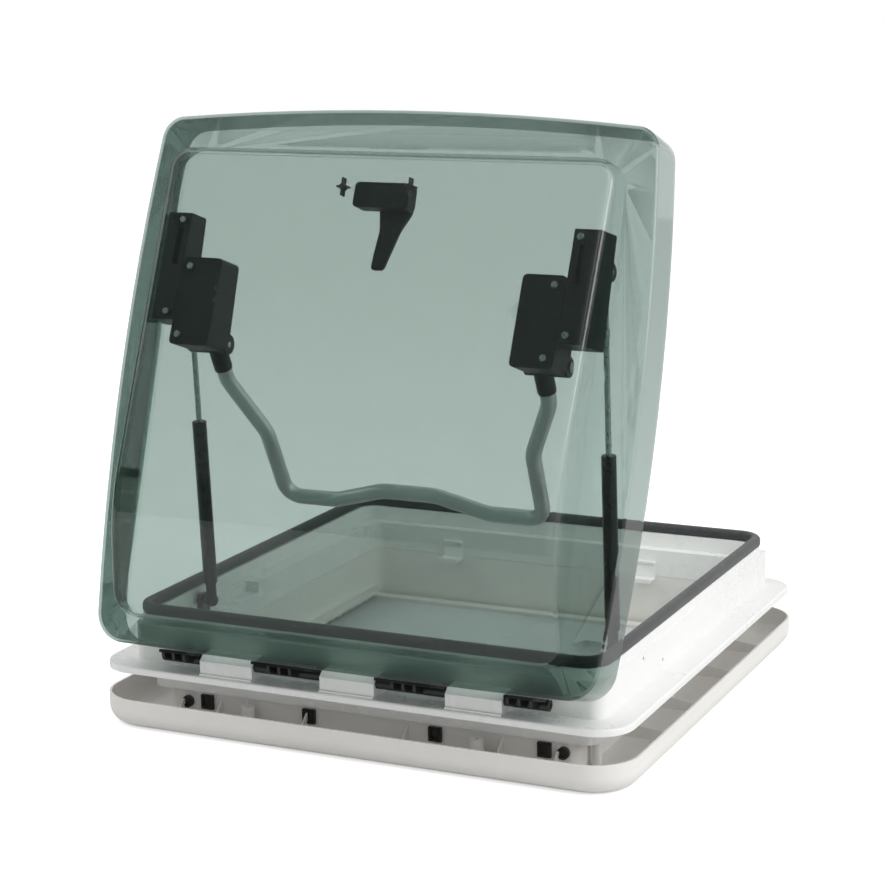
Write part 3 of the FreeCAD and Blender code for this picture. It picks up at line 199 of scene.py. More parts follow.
def room_light(tree, low, high):
    """Light from the room, from its dark side to its bright side."""
    fade = tree.nodes.new("ShaderNodeMapRange")
    fade.inputs["From Min"].default_value = -FADE_HALF
    fade.inputs["From Max"].default_value = FADE_HALF
    fade.inputs["To Min"].default_value = low
    fade.inputs["To Max"].default_value = high
    tree.links.new(facing.outputs["Value"], fade.inputs["Value"])
    return fade.outputs["Result"]


soft_part = room_light(tree, *ROOM_SOFT)
mirror_part = calc(tree, "SUBTRACT", room_light(tree, *ROOM_MIRROR), soft_part)
room = calc(tree, "MULTIPLY_ADD", in_mirror, mirror_part, soft_part)
whiter = calc(tree, "MULTIPLY", direct, calc(tree, "SUBTRACT", 1.0, room))
tree.links.new(calc(tree, "ADD", room, whiter), sky.inputs["Strength"])
tree.links.new(sky.outputs[0], output.inputs["Surface"])
print("room light:", ROOM_SOFT, "and in a mirror face:", ROOM_MIRROR)

# %% Lamps


def soft_lamp(name, place, aim, size, watts):
    """A square area lamp that looks at a point."""
    lamp = bpy.data.lights.new(name, "AREA")
    lamp.size = size
    lamp.energy = watts
    holder = bpy.data.objects.new(name, lamp)
    holder.location = place
    holder.rotation_euler = (Vector(aim) - Vector(place)).to_track_quat("-Z", "Y").to_euler()
    bpy.context.scene.collection.objects.link(holder)
    return holder


MIDDLE = (0, 0, 0.2)
RIGHT_CHANNEL = (0.25, 0, -0.03)
lamps = [
    soft_lamp("lamp_above_right", place=(1.6, -1.2, 2.4), aim=MIDDLE, size=1.6, watts=15),
    soft_lamp("lamp_above_left", place=(-2.0, -0.8, 1.8), aim=MIDDLE, size=1.8, watts=20),
    soft_lamp("lamp_low_right", place=(2.2, -0.3, 1.2), aim=RIGHT_CHANNEL, size=0.9, watts=14),
]
print("lamps:", [lamp.name for lamp in lamps])

# %% [markdown]
# ## Surface tools that several finishes share
# A moulded or painted part is never one flat colour. Its tone drifts a little, a fine
# texture from the mould breaks up the shine, and dust settles on what faces up. On metal
# and paint a small radius along each corner catches the light. Four small node groups make
# these once. They give only masks, heights and normals, and every finish mixes its own
# colours from them.

# %% Helpers for node groups


def new_group(name, inputs, outputs):
    """A node group with named number inputs and named outputs."""
    group = bpy.data.node_groups.new(name, "ShaderNodeTree")
    for label, value in inputs.items():
        socket = group.interface.new_socket(label, in_out="INPUT", socket_type="NodeSocketFloat")
        socket.default_value = value
    for label, kind in outputs.items():
        group.interface.new_socket(label, in_out="OUTPUT", socket_type=kind)
    return group, group.nodes.new("NodeGroupInput"), group.nodes.new("NodeGroupOutput")


def texture(tree, kind, place, scale, **settings):
    """A texture node on a place, at a scale per metre."""
    node = tree.nodes.new(kind)
    tree.links.new(place, node.inputs["Vector"])
    if isinstance(scale, (int, float)):
        node.inputs["Scale"].default_value = scale
    else:
        tree.links.new(scale, node.inputs["Scale"])
    for label, value in settings.items():
        node.inputs[label].default_value = value
    return node


def object_place(tree):
    """The place of a point on the piece, in metres."""
    return tree.nodes.new("ShaderNodeTexCoord").outputs["Object"]


def stretch(tree, value, low, high):
    """Maps low to high onto nought to one, and stops there."""
    node = tree.nodes.new("ShaderNodeMapRange")
    tree.links.new(value, node.inputs["Value"])
    node.inputs["From Min"].default_value = low
    node.inputs["From Max"].default_value = high
    return node.outputs["Result"]


# %% Drift of tone and grain of the mould


def make_drift(mottle_finer=9.0, mottle_share=0.35):
    """A slow drift of tone with a finer mottle on it."""
    group, entry, leave = new_group("tone_drift", {"Scale": 6.0}, {"Mask": "NodeSocketFloat"})
    place = object_place(group)
    wide = texture(group, "ShaderNodeTexNoise", place, entry.outputs["Scale"], Detail=2.0)
    finer = calc(group, "MULTIPLY", entry.outputs["Scale"], mottle_finer)
    mottle = texture(group, "ShaderNodeTexNoise", place, finer, Detail=4.0)
    mixed = calc(group, "MULTIPLY_ADD", mottle.outputs["Fac"], mottle_share, calc(
        group, "MULTIPLY", wide.outputs["Fac"], 1 - mottle_share))
    group.links.new(stretch(group, mixed, low=0.32, high=0.68), leave.inputs["Mask"])
    return group


def make_grain(noise_finer=2.3, cell_share=0.6):
    """The fine pattern of a textured mould, as a height for a bump."""
    group, entry, leave = new_group("mould_grain", {"Scale": 900.0}, {"Height": "NodeSocketFloat"})
    place = object_place(group)
    cells = texture(group, "ShaderNodeTexVoronoi", place, entry.outputs["Scale"])
    finer = calc(group, "MULTIPLY", entry.outputs["Scale"], noise_finer)
    noise = texture(group, "ShaderNodeTexNoise", place, finer, Detail=3.0)
    height = calc(group, "MULTIPLY_ADD", cells.outputs["Distance"], cell_share, calc(
        group, "MULTIPLY", noise.outputs["Fac"], 1 - cell_share))
    group.links.new(height, leave.inputs["Height"])
    return group


# %% Soft corners and settled dust


def make_edges():
    """A small radius on each sharp corner, and a mask of where those corners are."""
    group, entry, leave = new_group("soft_corner", {"Radius": 0.0006}, {
        "Normal": "NodeSocketVector", "Mask": "NodeSocketFloat"})
    bevel = group.nodes.new("ShaderNodeBevel")
    bevel.samples = 4
    group.links.new(entry.outputs["Radius"], bevel.inputs["Radius"])
    shape = group.nodes.new("ShaderNodeNewGeometry")
    turn = group.nodes.new("ShaderNodeVectorMath")
    turn.operation = "DOT_PRODUCT"
    group.links.new(bevel.outputs["Normal"], turn.inputs[0])
    group.links.new(shape.outputs["Normal"], turn.inputs[1])
    group.links.new(bevel.outputs["Normal"], leave.inputs["Normal"])
    turned = calc(group, "SUBTRACT", 1.0, turn.outputs["Value"])
    group.links.new(stretch(group, turned, low=0.0, high=0.25), leave.inputs["Mask"])
    return group


def make_dust():
    """Loose specks that lie thicker where a face looks up."""
    group, entry, leave = new_group("settled_dust", {"Scale": 70.0}, {"Mask": "NodeSocketFloat"})
    place = object_place(group)
    shape = group.nodes.new("ShaderNodeNewGeometry")
    parts = group.nodes.new("ShaderNodeSeparateXYZ")
    group.links.new(shape.outputs["Normal"], parts.inputs[0])
    upward = stretch(group, parts.outputs["Z"], low=-0.2, high=1.0)
    clouds = texture(group, "ShaderNodeTexNoise", place, entry.outputs["Scale"], Detail=6.0,
                     Roughness=0.65)
    specks = stretch(group, clouds.outputs["Fac"], low=0.5, high=0.8)
    group.links.new(calc(group, "MULTIPLY", upward, specks), leave.inputs["Mask"])
    return group


tools = {"drift": make_drift(), "grain": make_grain(), "edges": make_edges(), "dust": make_dust()}
print("groups:", sorted(tools))

# %% Ways to use the groups in a finish
# A mix node has its two colours and its result at these sockets.
MIX_COLOURS = (6, 7)
MIX_RESULT = 2
finishes = {}


def use(tree, tool, **numbers):
    """Puts a shared group in a tree, with its number set by name."""
    node = tree.nodes.new("ShaderNodeGroup")
    node.node_tree = tools[tool]
    for label, value in numbers.items():
        node.inputs[label].default_value = value
    return node


def between(tree, share, first, second):
    """A colour between two, by a mask."""
    node = tree.nodes.new("ShaderNodeMix")
    node.data_type = "RGBA"
    tree.links.new(share, node.inputs["Factor"])
    for socket, colour in zip(MIX_COLOURS, (first, second)):
        if isinstance(colour, tuple):
            node.inputs[socket].default_value = (*colour, 1)
        else:
            tree.links.new(colour, node.inputs[socket])
    return node.outputs[MIX_RESULT]


def bump(tree, height, depth, normal=None):
    """A normal from a height, on top of the face's own normal or of another one."""
    node = tree.nodes.new("ShaderNodeBump")
    node.inputs["Distance"].default_value = depth
    tree.links.new(height, node.inputs["Height"])
    if normal is not None:
        tree.links.new(normal, node.inputs["Normal"])
    return node.outputs["Normal"]


def new_finish(name):
    """A named finish with one Principled shader on its surface."""
    finishes[name] = fresh(name)
    tree, output = node_tree(finishes[name])
    shader = tree.nodes.new("ShaderNodeBsdfPrincipled")
    tree.links.new(shader.outputs[0], output.inputs["Surface"])
    return tree, shader


def ending(tree):
    """The output node of a finish."""
    return next(node for node in tree.nodes if node.type == "OUTPUT_MATERIAL")


def range_of(tree, share, low, high):
    """A number between two, by a mask."""
    return calc(tree, "MULTIPLY_ADD", share, high - low, low)


# %% [markdown]
# ## Moulded plastics
# The roof frame is a white moulding with some gloss, the ceiling trim a warmer satin white,
# and the hinge parts, housings and latch a fine matt black. All three come out of a steel
# mould, so they share a make-up: drift of tone, fine grain and a little dust. Only the
# colours, the shine and the size and depth of the grain differ.

# %% Plastic finishes
DUST_TINT = 0.12
DUST_DULL = 0.15


def moulded(name, colour, shade, dusty, rough, grain, depth):
    """rough is the least and the most roughness; shade is the colour's darker drift."""
    tree, shader = new_finish(name)
    drift = use(tree, "drift").outputs["Mask"]
    dust = use(tree, "dust").outputs["Mask"]
    body = between(tree, drift, shade, colour)
    tree.links.new(between(tree, calc(tree, "MULTIPLY", dust, DUST_TINT), body, dusty),
                   shader.inputs["Base Color"])
    roughness = range_of(tree, drift, *rough)
    tree.links.new(calc(tree, "MULTIPLY_ADD", dust, DUST_DULL, roughness),
                   shader.inputs["Roughness"])
    height = use(tree, "grain", Scale=grain).outputs["Height"]
    tree.links.new(bump(tree, height, depth), shader.inputs["Normal"])


moulded("white_moulding", colour=(0.905, 0.905, 0.895), shade=(0.86, 0.865, 0.855),
        dusty=(0.78, 0.77, 0.74), rough=(0.24, 0.34), grain=700, depth=0.00002)
moulded("trim_moulding", colour=(0.87, 0.855, 0.825), shade=(0.82, 0.80, 0.765),
        dusty=(0.74, 0.72, 0.68), rough=(0.36, 0.48), grain=1100, depth=0.00005)
moulded("black_plastic", colour=(0.014, 0.016, 0.016), shade=(0.009, 0.010, 0.010),
        dusty=(0.035, 0.036, 0.035), rough=(0.36, 0.5), grain=1300, depth=0.00005)
print("plastics:", sorted(finishes))

# %% [markdown]
# ## Rubber, metals and paint
# The seal is a soft rubber bulb with a dull skin. The hinge rod, pins and screws are turned
# steel, the strut tubes are painted black, and the bail is satin drawn tube. Tool marks are
# a noise whose scale differs from axis to axis, which costs nothing in the mesh.

# %% Rubber finish
RUBBER_DUST_TINT = 0.5


def rubber(name, colour, shade, dusty, rough, grain, depth):
    """A dull skin with a faint sheen, on which dust shows more than on plastic."""
    tree, shader = new_finish(name)
    drift = use(tree, "drift", Scale=14).outputs["Mask"]
    dust = use(tree, "dust", Scale=160).outputs["Mask"]
    body = between(tree, drift, shade, colour)
    tree.links.new(between(tree, calc(tree, "MULTIPLY", dust, RUBBER_DUST_TINT), body, dusty),
                   shader.inputs["Base Color"])
    tree.links.new(range_of(tree, drift, *rough), shader.inputs["Roughness"])
    shader.inputs["Sheen Weight"].default_value = 0.15
    height = use(tree, "grain", Scale=grain).outputs["Height"]
    tree.links.new(bump(tree, height, depth), shader.inputs["Normal"])


rubber("seal_rubber", colour=(0.045, 0.047, 0.049), shade=(0.030, 0.032, 0.034),
       dusty=(0.16, 0.155, 0.145), rough=(0.42, 0.6), grain=1500, depth=0.00006)
print("finishes with rubber:", sorted(finishes))

# %% Metal and paint finishes
MARK_DULL = 0.14


def bare_metal(name, colour, shade, rough, lines):
    """lines is the density of fine tool marks along each axis, per metre."""
    tree, shader = new_finish(name)
    drift = use(tree, "drift", Scale=18).outputs["Mask"]
    edges = use(tree, "edges", Radius=0.0004)
    spread = tree.nodes.new("ShaderNodeMapping")
    spread.inputs["Scale"].default_value = lines
    tree.links.new(object_place(tree), spread.inputs["Vector"])
    marks = texture(tree, "ShaderNodeTexNoise", spread.outputs["Vector"], scale=1.0, Detail=3.0)
    scratch = stretch(tree, marks.outputs["Fac"], low=0.35, high=0.7)
    tree.links.new(between(tree, drift, shade, colour), shader.inputs["Base Color"])
    tree.links.new(calc(tree, "MULTIPLY_ADD", scratch, MARK_DULL, range_of(tree, drift, *rough)),
                   shader.inputs["Roughness"])
    shader.inputs["Metallic"].default_value = 1
    tree.links.new(bump(tree, scratch, depth=0.00003, normal=edges.outputs["Normal"]),
                   shader.inputs["Normal"])


def painted(name, colour, shade, bare, rough, grain, depth):
    """Gloss paint, worn down to the bare metal on a few corners."""
    tree, shader = new_finish(name)
    drift = use(tree, "drift", Scale=20).outputs["Mask"]
    edges = use(tree, "edges", Radius=0.0005)
    worn = stretch(tree, drift, low=0.6, high=0.9)
    chips = calc(tree, "MULTIPLY", edges.outputs["Mask"], worn)
    body = between(tree, drift, shade, colour)
    tree.links.new(between(tree, chips, body, bare), shader.inputs["Base Color"])
    tree.links.new(range_of(tree, drift, *rough), shader.inputs["Roughness"])
    shader.inputs["Coat Weight"].default_value = 0.4
    height = use(tree, "grain", Scale=grain).outputs["Height"]
    tree.links.new(bump(tree, height, depth, normal=edges.outputs["Normal"]),
                   shader.inputs["Normal"])


bare_metal("steel", colour=(0.66, 0.66, 0.65), shade=(0.52, 0.52, 0.52), rough=(0.18, 0.3),
           lines=(1600, 300, 300))
bare_metal("aluminium_tube", colour=(0.77, 0.78, 0.78), shade=(0.66, 0.67, 0.68),
           rough=(0.26, 0.38), lines=(900, 60, 900))
painted("black_steel", colour=(0.022, 0.023, 0.024), shade=(0.012, 0.013, 0.014),
        bare=(0.16, 0.16, 0.16), rough=(0.22, 0.34), grain=500, depth=0.00004)
print("finishes with metals and paint:", sorted(finishes))

# %% [markdown]
# ## Acrylic
# The outer dome is a grey-green acrylic sheet drawn over a form, and the inner pane is the
# same sheet in a much lighter tint. What is seen through two thin sheets stays in its place,
# so the body hardly bends the light; the tint and the gloss are taken once for each sheet,
# where the light goes in. A last part of the tint is an absorption inside the volume, so the
# edges come out darker. Fine wipe marks and a faint waviness from the forming keep it from
# looking like clean glass. A shadow ray goes straight through, or the inside would stay
# black. Where the pane lies close to the dome, streaks show, and their cause wasn't found.
# So the pane lets everything through at its rim and at the foot of its walls, up to a
# chosen height, which hides a part of them.

# %% Heights on the shut lid
LID_SWING = math.radians(71.37)
HINGE = Vector((0, -0.276, 0.021))
LID_UP = Vector((0, -math.sin(LID_SWING), math.cos(LID_SWING)))


def shut_height(tree):
    """How high a place of the lid lies when the lid is shut."""
    node = tree.nodes.new("ShaderNodeVectorMath")
    node.operation = "DOT_PRODUCT"
    tree.links.new(object_place(tree), node.inputs[0])
    node.inputs[1].default_value = LID_UP
    return calc(tree, "ADD", node.outputs["Value"], HINGE.z - HINGE.dot(LID_UP))


print("the lid stands at", round(math.degrees(LID_SWING), 2), "degrees")

# %% Acrylic finishes
SHEET_BEND = 1.01
SHEET_GLOSS = 1.49
LEAVING_TINT = (0.98, 0.985, 0.98)
WIPE_DULL = 0.04
SHADOW_TINT = 0.5
PANE_CLEAR_BELOW = 0.078


def acrylic(name, colour, tint, density, clear_below=0):
    """colour is what the sheet passes; tint and density are what its thickness takes."""
    tree, shader = new_finish(name)
    output = ending(tree)
    drift = use(tree, "drift", Scale=5)
    place = object_place(tree)
    wipes = texture(tree, "ShaderNodeTexNoise", place, scale=260, Detail=5.0, Roughness=0.7)
    wiped = stretch(tree, wipes.outputs["Fac"], low=0.66, high=0.8)
    marks = calc(tree, "MULTIPLY", wiped, WIPE_DULL)
    side = tree.nodes.new("ShaderNodeNewGeometry").outputs["Backfacing"]
    tree.links.new(between(tree, side, colour, LEAVING_TINT), shader.inputs["Base Color"])
    shader.inputs["IOR"].default_value = SHEET_BEND
    tree.links.new(calc(tree, "SUBTRACT", 1.0, side), shader.inputs["Coat Weight"])
    shader.inputs["Coat IOR"].default_value = SHEET_GLOSS
    shader.inputs["Coat Roughness"].default_value = 0.05
    shader.inputs["Transmission Weight"].default_value = 1
    tree.links.new(marks, shader.inputs["Roughness"])
    tree.links.new(bump(tree, drift.outputs["Mask"], depth=0.00003), shader.inputs["Normal"])
    see_through = tree.nodes.new("ShaderNodeBsdfTransparent")
    passed = [1 - SHADOW_TINT + SHADOW_TINT * part for part in colour]
    see_through.inputs["Color"].default_value = (*passed, 1)
    shadow_ray = tree.nodes.new("ShaderNodeLightPath").outputs["Is Shadow Ray"]
    mix = tree.nodes.new("ShaderNodeMixShader")
    at_rim = calc(tree, "LESS_THAN", shut_height(tree), clear_below)
    tree.links.new(calc(tree, "MAXIMUM", shadow_ray, at_rim), mix.inputs[0])
    tree.links.new(shader.outputs[0], mix.inputs[1])
    tree.links.new(see_through.outputs[0], mix.inputs[2])
    tree.links.new(mix.outputs[0], output.inputs["Surface"])
    inside = tree.nodes.new("ShaderNodeVolumeAbsorption")
    inside.inputs["Color"].default_value = (*tint, 1)
    inside.inputs["Density"].default_value = density
    tree.links.new(inside.outputs[0], output.inputs["Volume"])


acrylic("tinted_acrylic", colour=(0.135, 0.195, 0.171), tint=(0.01, 0.2075, 0.14), density=26)
acrylic("clear_acrylic", colour=(0.90, 0.93, 0.92), tint=(0.2, 0.5, 0.4), density=6,
        clear_below=PANE_CLEAR_BELOW)
print("the pane is clear below", PANE_CLEAR_BELOW, "m of shut height")

# %% [markdown]
# ## Cloth finishes
# The flyscreen is a fine woven mesh in pale blue-grey. Its threads are much finer than a
# picture element, so a weave pattern only sets how much of the light passes. The blind is an
# off-white pleated cloth that lets a little light through. Real threads would cost a great
# many faces and show no more.

# %% Cloth finishes


def woven(name, colour, shade, fineness, open_share, glow_share):
    """fineness is the scale of the weave; open_share is how open it is between threads."""
    tree, shader = new_finish(name)
    output = ending(tree)
    drift = use(tree, "drift", Scale=25).outputs["Mask"]
    place = object_place(tree)
    bands = []
    for direction in ("X", "Y"):
        wave = texture(tree, "ShaderNodeTexWave", place, fineness, Distortion=0.4)
        wave.bands_direction = direction
        bands.append(wave.outputs["Fac"])
    weave = calc(tree, "MAXIMUM", *bands)
    tree.links.new(between(tree, drift, shade, colour), shader.inputs["Base Color"])
    shader.inputs["Roughness"].default_value = 0.8
    shader.inputs["Sheen Weight"].default_value = 0.3
    tree.links.new(bump(tree, weave, depth=0.0001), shader.inputs["Normal"])
    lit = tree.nodes.new("ShaderNodeBsdfTranslucent")
    lit.inputs["Color"].default_value = (*colour, 1)
    soft = tree.nodes.new("ShaderNodeMixShader")
    soft.inputs[0].default_value = glow_share
    tree.links.new(shader.outputs[0], soft.inputs[1])
    tree.links.new(lit.outputs[0], soft.inputs[2])
    gaps = tree.nodes.new("ShaderNodeBsdfTransparent")
    holes = tree.nodes.new("ShaderNodeMixShader")
    solid = calc(tree, "MULTIPLY_ADD", weave, open_share, 1.0 - open_share)
    tree.links.new(solid, holes.inputs[0])
    tree.links.new(gaps.outputs[0], holes.inputs[1])
    tree.links.new(soft.outputs[0], holes.inputs[2])
    tree.links.new(holes.outputs[0], output.inputs["Surface"])


woven("screen_mesh", colour=(0.84, 0.86, 0.86), shade=(0.78, 0.80, 0.80), fineness=900,
      open_share=0.4, glow_share=0.5)
woven("blind_cloth", colour=(0.86, 0.85, 0.82), shade=(0.82, 0.81, 0.78), fineness=1600,
      open_share=0.0, glow_share=0.25)
print("finishes with cloths:", sorted(finishes))

# %% Give each CAD piece its finish
for item in nodes.values():
    for slot in item.material_slots:
        slot.material = finishes[slot.material.name.split(".")[0]]
print("pieces with a finish:", len(nodes))

# %% [markdown]
# ## How pieces are modelled
# Each piece below starts from a primitive at its size and place, and is then shaped in edit
# mode. A few helpers pick edges or faces by a test, so that each step reads as what it does.

# %% Helpers for edit mode
SOFT_ANGLE = math.radians(35)
TINY = 0.0001


def edit(item):
    """Opens one object in edit mode, with nothing selected."""
    bpy.ops.object.select_all(action="DESELECT")
    item.select_set(True)
    bpy.context.view_layer.objects.active = item
    bpy.ops.object.mode_set(mode="EDIT")
    bpy.ops.mesh.select_mode(type="VERT")
    bpy.ops.mesh.select_all(action="DESELECT")


def choose(item, kind, test):
    """Selects the vertices, edges or faces that pass a test."""
    bpy.ops.mesh.select_mode(type=kind)
    bpy.ops.mesh.select_all(action="DESELECT")
    mesh = bmesh.from_edit_mesh(item.data)
    for element in {"VERT": mesh.verts, "EDGE": mesh.edges, "FACE": mesh.faces}[kind]:
        if test(element):
            element.select_set(True)
    bmesh.update_edit_mesh(item.data)


def close(item, smooth=SOFT_ANGLE):
    """Leaves edit mode with the normals outward and the soft faces smooth."""
    bpy.ops.mesh.select_all(action="SELECT")
    bpy.ops.mesh.normals_make_consistent(inside=False)
    bpy.ops.object.mode_set(mode="OBJECT")
    bpy.ops.object.shade_smooth_by_angle(angle=smooth)


# %% Tests that pick edges and faces
# How nearly a face looks along an axis, an edge runs up, and a wall may lean.
FACING = 0.9
UPRIGHT = 0.99
STANDING = 0.5


def middle(edge):
    """The middle of an edge."""
    return (edge.verts[0].co + edge.verts[1].co) / 2


def is_upright(edge):
    """Whether an edge runs up."""
    run = edge.verts[0].co - edge.verts[1].co
    return abs(run.z) > UPRIGHT * run.length


def is_level(edge):
    """Whether both ends of an edge lie at one height."""
    return abs(edge.verts[0].co.z - edge.verts[1].co.z) < TINY


def by_wall(edge):
    """Whether a standing face meets an edge."""
    return any(abs(face.normal.z) < STANDING for face in edge.link_faces)


def faces_front(face):
    """Whether a face looks to the front."""
    return face.normal.y < -FACING


# %% Helpers for blocks, bars and copies
ROUND_SIDES = 32


def slab(name, low, high):
    """A box between two corners."""
    low, high = Vector(low), Vector(high)
    bpy.ops.object.select_all(action="DESELECT")
    bpy.ops.mesh.primitive_cube_add(size=1, location=(low + high) / 2)
    item = bpy.context.object
    item.name = name
    item.scale = high - low
    bpy.ops.object.transform_apply(location=True, rotation=True, scale=True)
    return item


def drum(name, centre, radius, length, axis):
    """A round bar along y or z."""
    bpy.ops.object.select_all(action="DESELECT")
    turn = {"y": (math.pi / 2, 0, 0), "z": (0, 0, 0)}[axis]
    bpy.ops.mesh.primitive_cylinder_add(vertices=ROUND_SIDES, radius=radius, depth=length,
                                        location=centre, rotation=turn)
    item = bpy.context.object
    item.name = name
    bpy.ops.object.transform_apply(location=True, rotation=True, scale=True)
    return item


def apply_all(item):
    """Makes the modifiers of a piece part of its mesh."""
    bpy.ops.object.select_all(action="DESELECT")
    item.select_set(True)
    bpy.context.view_layer.objects.active = item
    for modifier in list(item.modifiers):
        bpy.ops.object.modifier_apply(modifier=modifier.name)


def another(item, name, step):
    """A copy with its own mesh, moved by a step."""
    bpy.ops.object.select_all(action="DESELECT")
    item.select_set(True)
    bpy.context.view_layer.objects.active = item
    bpy.ops.object.duplicate()
    twin = bpy.context.object
    twin.name = name
    twin.location = step
    bpy.ops.object.transform_apply(location=True, rotation=True, scale=True)
    return twin


def dress(item, finish, body=None):
    """Gives a piece its finish and the body that it moves with."""
    item.data.materials.clear()
    item.data.materials.append(finishes[finish])
    if body:
        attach(item, body)


# %% [markdown]
# ## The seal
# The seal is a rubber bulb that stands on the white rim. On the real skylight the lid presses
# it down when it shuts, but nothing here squashes it. The CAD solid has it at its shut height,
# so here it gets the round, taller form that it has while the lid is open. A curve with a
# round section would be quicker, but has no flat foot. So it starts as a box the size of the
# ring with round corners; the middle is taken out, and the crest is bevelled until it is round.

# %% Seal bulb
SEAL_FOOT = 0.056
SEAL_CREST = 0.0672
SEAL_WIDTH = 0.0112
SEAL_SIDE = 0.2606
SEAL_FRONT, SEAL_BACK = -0.2616, 0.2686
SEAL_CORNER = 0.0286
CREST_ROUND, FOOT_ROUND = 0.0052, 0.002
seal = slab("seal_bulb", (-SEAL_SIDE, SEAL_FRONT, SEAL_FOOT), (SEAL_SIDE, SEAL_BACK, SEAL_CREST))
edit(seal)
choose(seal, "EDGE", is_upright)
bpy.ops.mesh.bevel(offset=SEAL_CORNER, segments=12, affect="EDGES")
choose(seal, "FACE", lambda face: abs(face.normal.z) > FACING)
bpy.ops.mesh.inset(thickness=SEAL_WIDTH, use_boundary=True)
bpy.ops.mesh.delete(type="FACE")
choose(seal, "EDGE", lambda edge: edge.is_boundary)
bpy.ops.mesh.bridge_edge_loops()
choose(seal, "EDGE", lambda edge: by_wall(edge)
       and min(vert.co.z for vert in edge.verts) > SEAL_CREST - TINY)
bpy.ops.mesh.bevel(offset=CREST_ROUND, segments=6, affect="EDGES", clamp_overlap=True)
choose(seal, "EDGE", lambda edge: by_wall(edge)
       and max(vert.co.z for vert in edge.verts) < SEAL_FOOT + TINY)
bpy.ops.mesh.bevel(offset=FOOT_ROUND, segments=3, affect="EDGES")
close(seal)
dress(seal, "seal_rubber", "frame")
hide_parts("frame_seal")
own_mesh(seal)
print("seal faces:", len(seal.data.polygons))

# %% [markdown]
# ## The pleated flyscreen and blind
# Both are one strip of cloth folded to and fro. The flyscreen is drawn right across the
# opening, with shallow folds, and the blind above it is pushed together at the hinge side,
# where its folds stand tight. Each starts as a flat grid with one row for each fold; every
# second row is lifted, the creases are eased, and the cloth gets its thickness last.

# %% How a cloth is pleated


def pleated(name, half_width, start, end, level, panels, height, thick, crease):
    """A strip folded across Y between two places, and the length of its flat cloth."""
    bpy.ops.object.select_all(action="DESELECT")
    bpy.ops.mesh.primitive_grid_add(x_subdivisions=6, y_subdivisions=panels, size=1)
    item = bpy.context.object
    item.name = name
    item.scale = (2 * half_width, end - start, 1)
    item.location = (0, (start + end) / 2, level - height / 2)
    bpy.ops.object.transform_apply(location=True, rotation=True, scale=True)
    pitch = (end - start) / panels
    edit(item)
    choose(item, "VERT", lambda vert: round((vert.co.y - start) / pitch) % 2 == 1)
    bpy.ops.transform.translate(value=(0, 0, height))
    choose(item, "EDGE", lambda edge: abs(edge.verts[0].co.y - edge.verts[1].co.y) < pitch / 4
           and start + pitch / 2 < middle(edge).y < end - pitch / 2)
    bpy.ops.mesh.bevel(offset=crease, segments=2, affect="EDGES")
    close(item, smooth=math.radians(50))
    skin = item.modifiers.new("thickness", "SOLIDIFY")
    skin.thickness = thick
    skin.offset = 0
    apply_all(item)
    return item, panels * math.hypot(pitch, height)


# %% Flyscreen
SCREEN_START, SCREEN_END = -0.231, 0.2215
screen, screen_flat = pleated(
    "flyscreen_cloth", half_width=0.2245, start=SCREEN_START, end=SCREEN_END, level=-0.052,
    panels=52, height=0.005, thick=0.0004, crease=0.0007)
dress(screen, "screen_mesh", "frame")
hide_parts("flyscreen_pleats")
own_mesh(screen)
print("flat length of the flyscreen:", round(screen_flat, 3), "m")

# %% Blind
BLIND_START, BLIND_END = -0.231, -0.2124
blind, blind_flat = pleated(
    "blind_folds", half_width=0.2200, start=BLIND_START, end=BLIND_END, level=-0.041,
    panels=56, height=0.0085, thick=0.00018, crease=0.0001)
dress(blind, "blind_cloth")
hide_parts("blind_pleats")
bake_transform(blind)
print("flat length of the blind:", round(blind_flat, 3), "m")

# %% [markdown]
# ## Small parts on the ceiling trim
# On the front of the trim's lining sit four black clips and two round caps, which seem to
# hold the rails of the flyscreen and the blind. They are small and never move, so a box and
# a bar with a sunk front face are enough, and the others are copies.

# %% Clips and caps
LINING_FRONT = -0.2445
CLIP_PLACES = (-0.1825, -0.0635, 0.078, 0.195)
CLIP_HALF, CLIP_DEEP = 0.007, 0.0042
CLIP_LOW, CLIP_HIGH = -0.043, -0.028
CAP_RADIUS, CAP_DEEP = 0.0062, 0.005
CAP_LEFT = (-0.2057, LINING_FRONT - CAP_DEEP / 2, -0.0374)
CAP_STEP = (0.4207, 0, 0.0012)


def sink_front(item, rim, depth):
    """Pushes the front face of a piece in, inside a rim."""
    choose(item, "FACE", faces_front)
    bpy.ops.mesh.inset(thickness=rim)
    bpy.ops.mesh.extrude_region_move(TRANSFORM_OT_translate={"value": (0, depth, 0)})


first_x = CLIP_PLACES[0]
clip = slab("rail_clip_1", (first_x - CLIP_HALF, LINING_FRONT - CLIP_DEEP, CLIP_LOW),
            (first_x + CLIP_HALF, LINING_FRONT, CLIP_HIGH))
edit(clip)
sink_front(clip, rim=0.003, depth=0.0016)
choose(clip, "EDGE", lambda edge: middle(edge).y < LINING_FRONT - CLIP_DEEP + TINY)
bpy.ops.mesh.bevel(offset=0.0005, segments=2, affect="EDGES")
close(clip)
clips = [clip] + [another(clip, f"rail_clip_{index}", (x - first_x, 0, 0))
                  for index, x in enumerate(CLIP_PLACES[1:], 2)]
cap = drum("rail_cap_left", CAP_LEFT, CAP_RADIUS, CAP_DEEP, "y")
edit(cap)
sink_front(cap, rim=0.0018, depth=0.0015)
close(cap)
caps = [cap, another(cap, "rail_cap_right", CAP_STEP)]
for item in clips + caps:
    dress(item, "black_plastic", "frame")
print("clips and caps:", len(clips + caps))

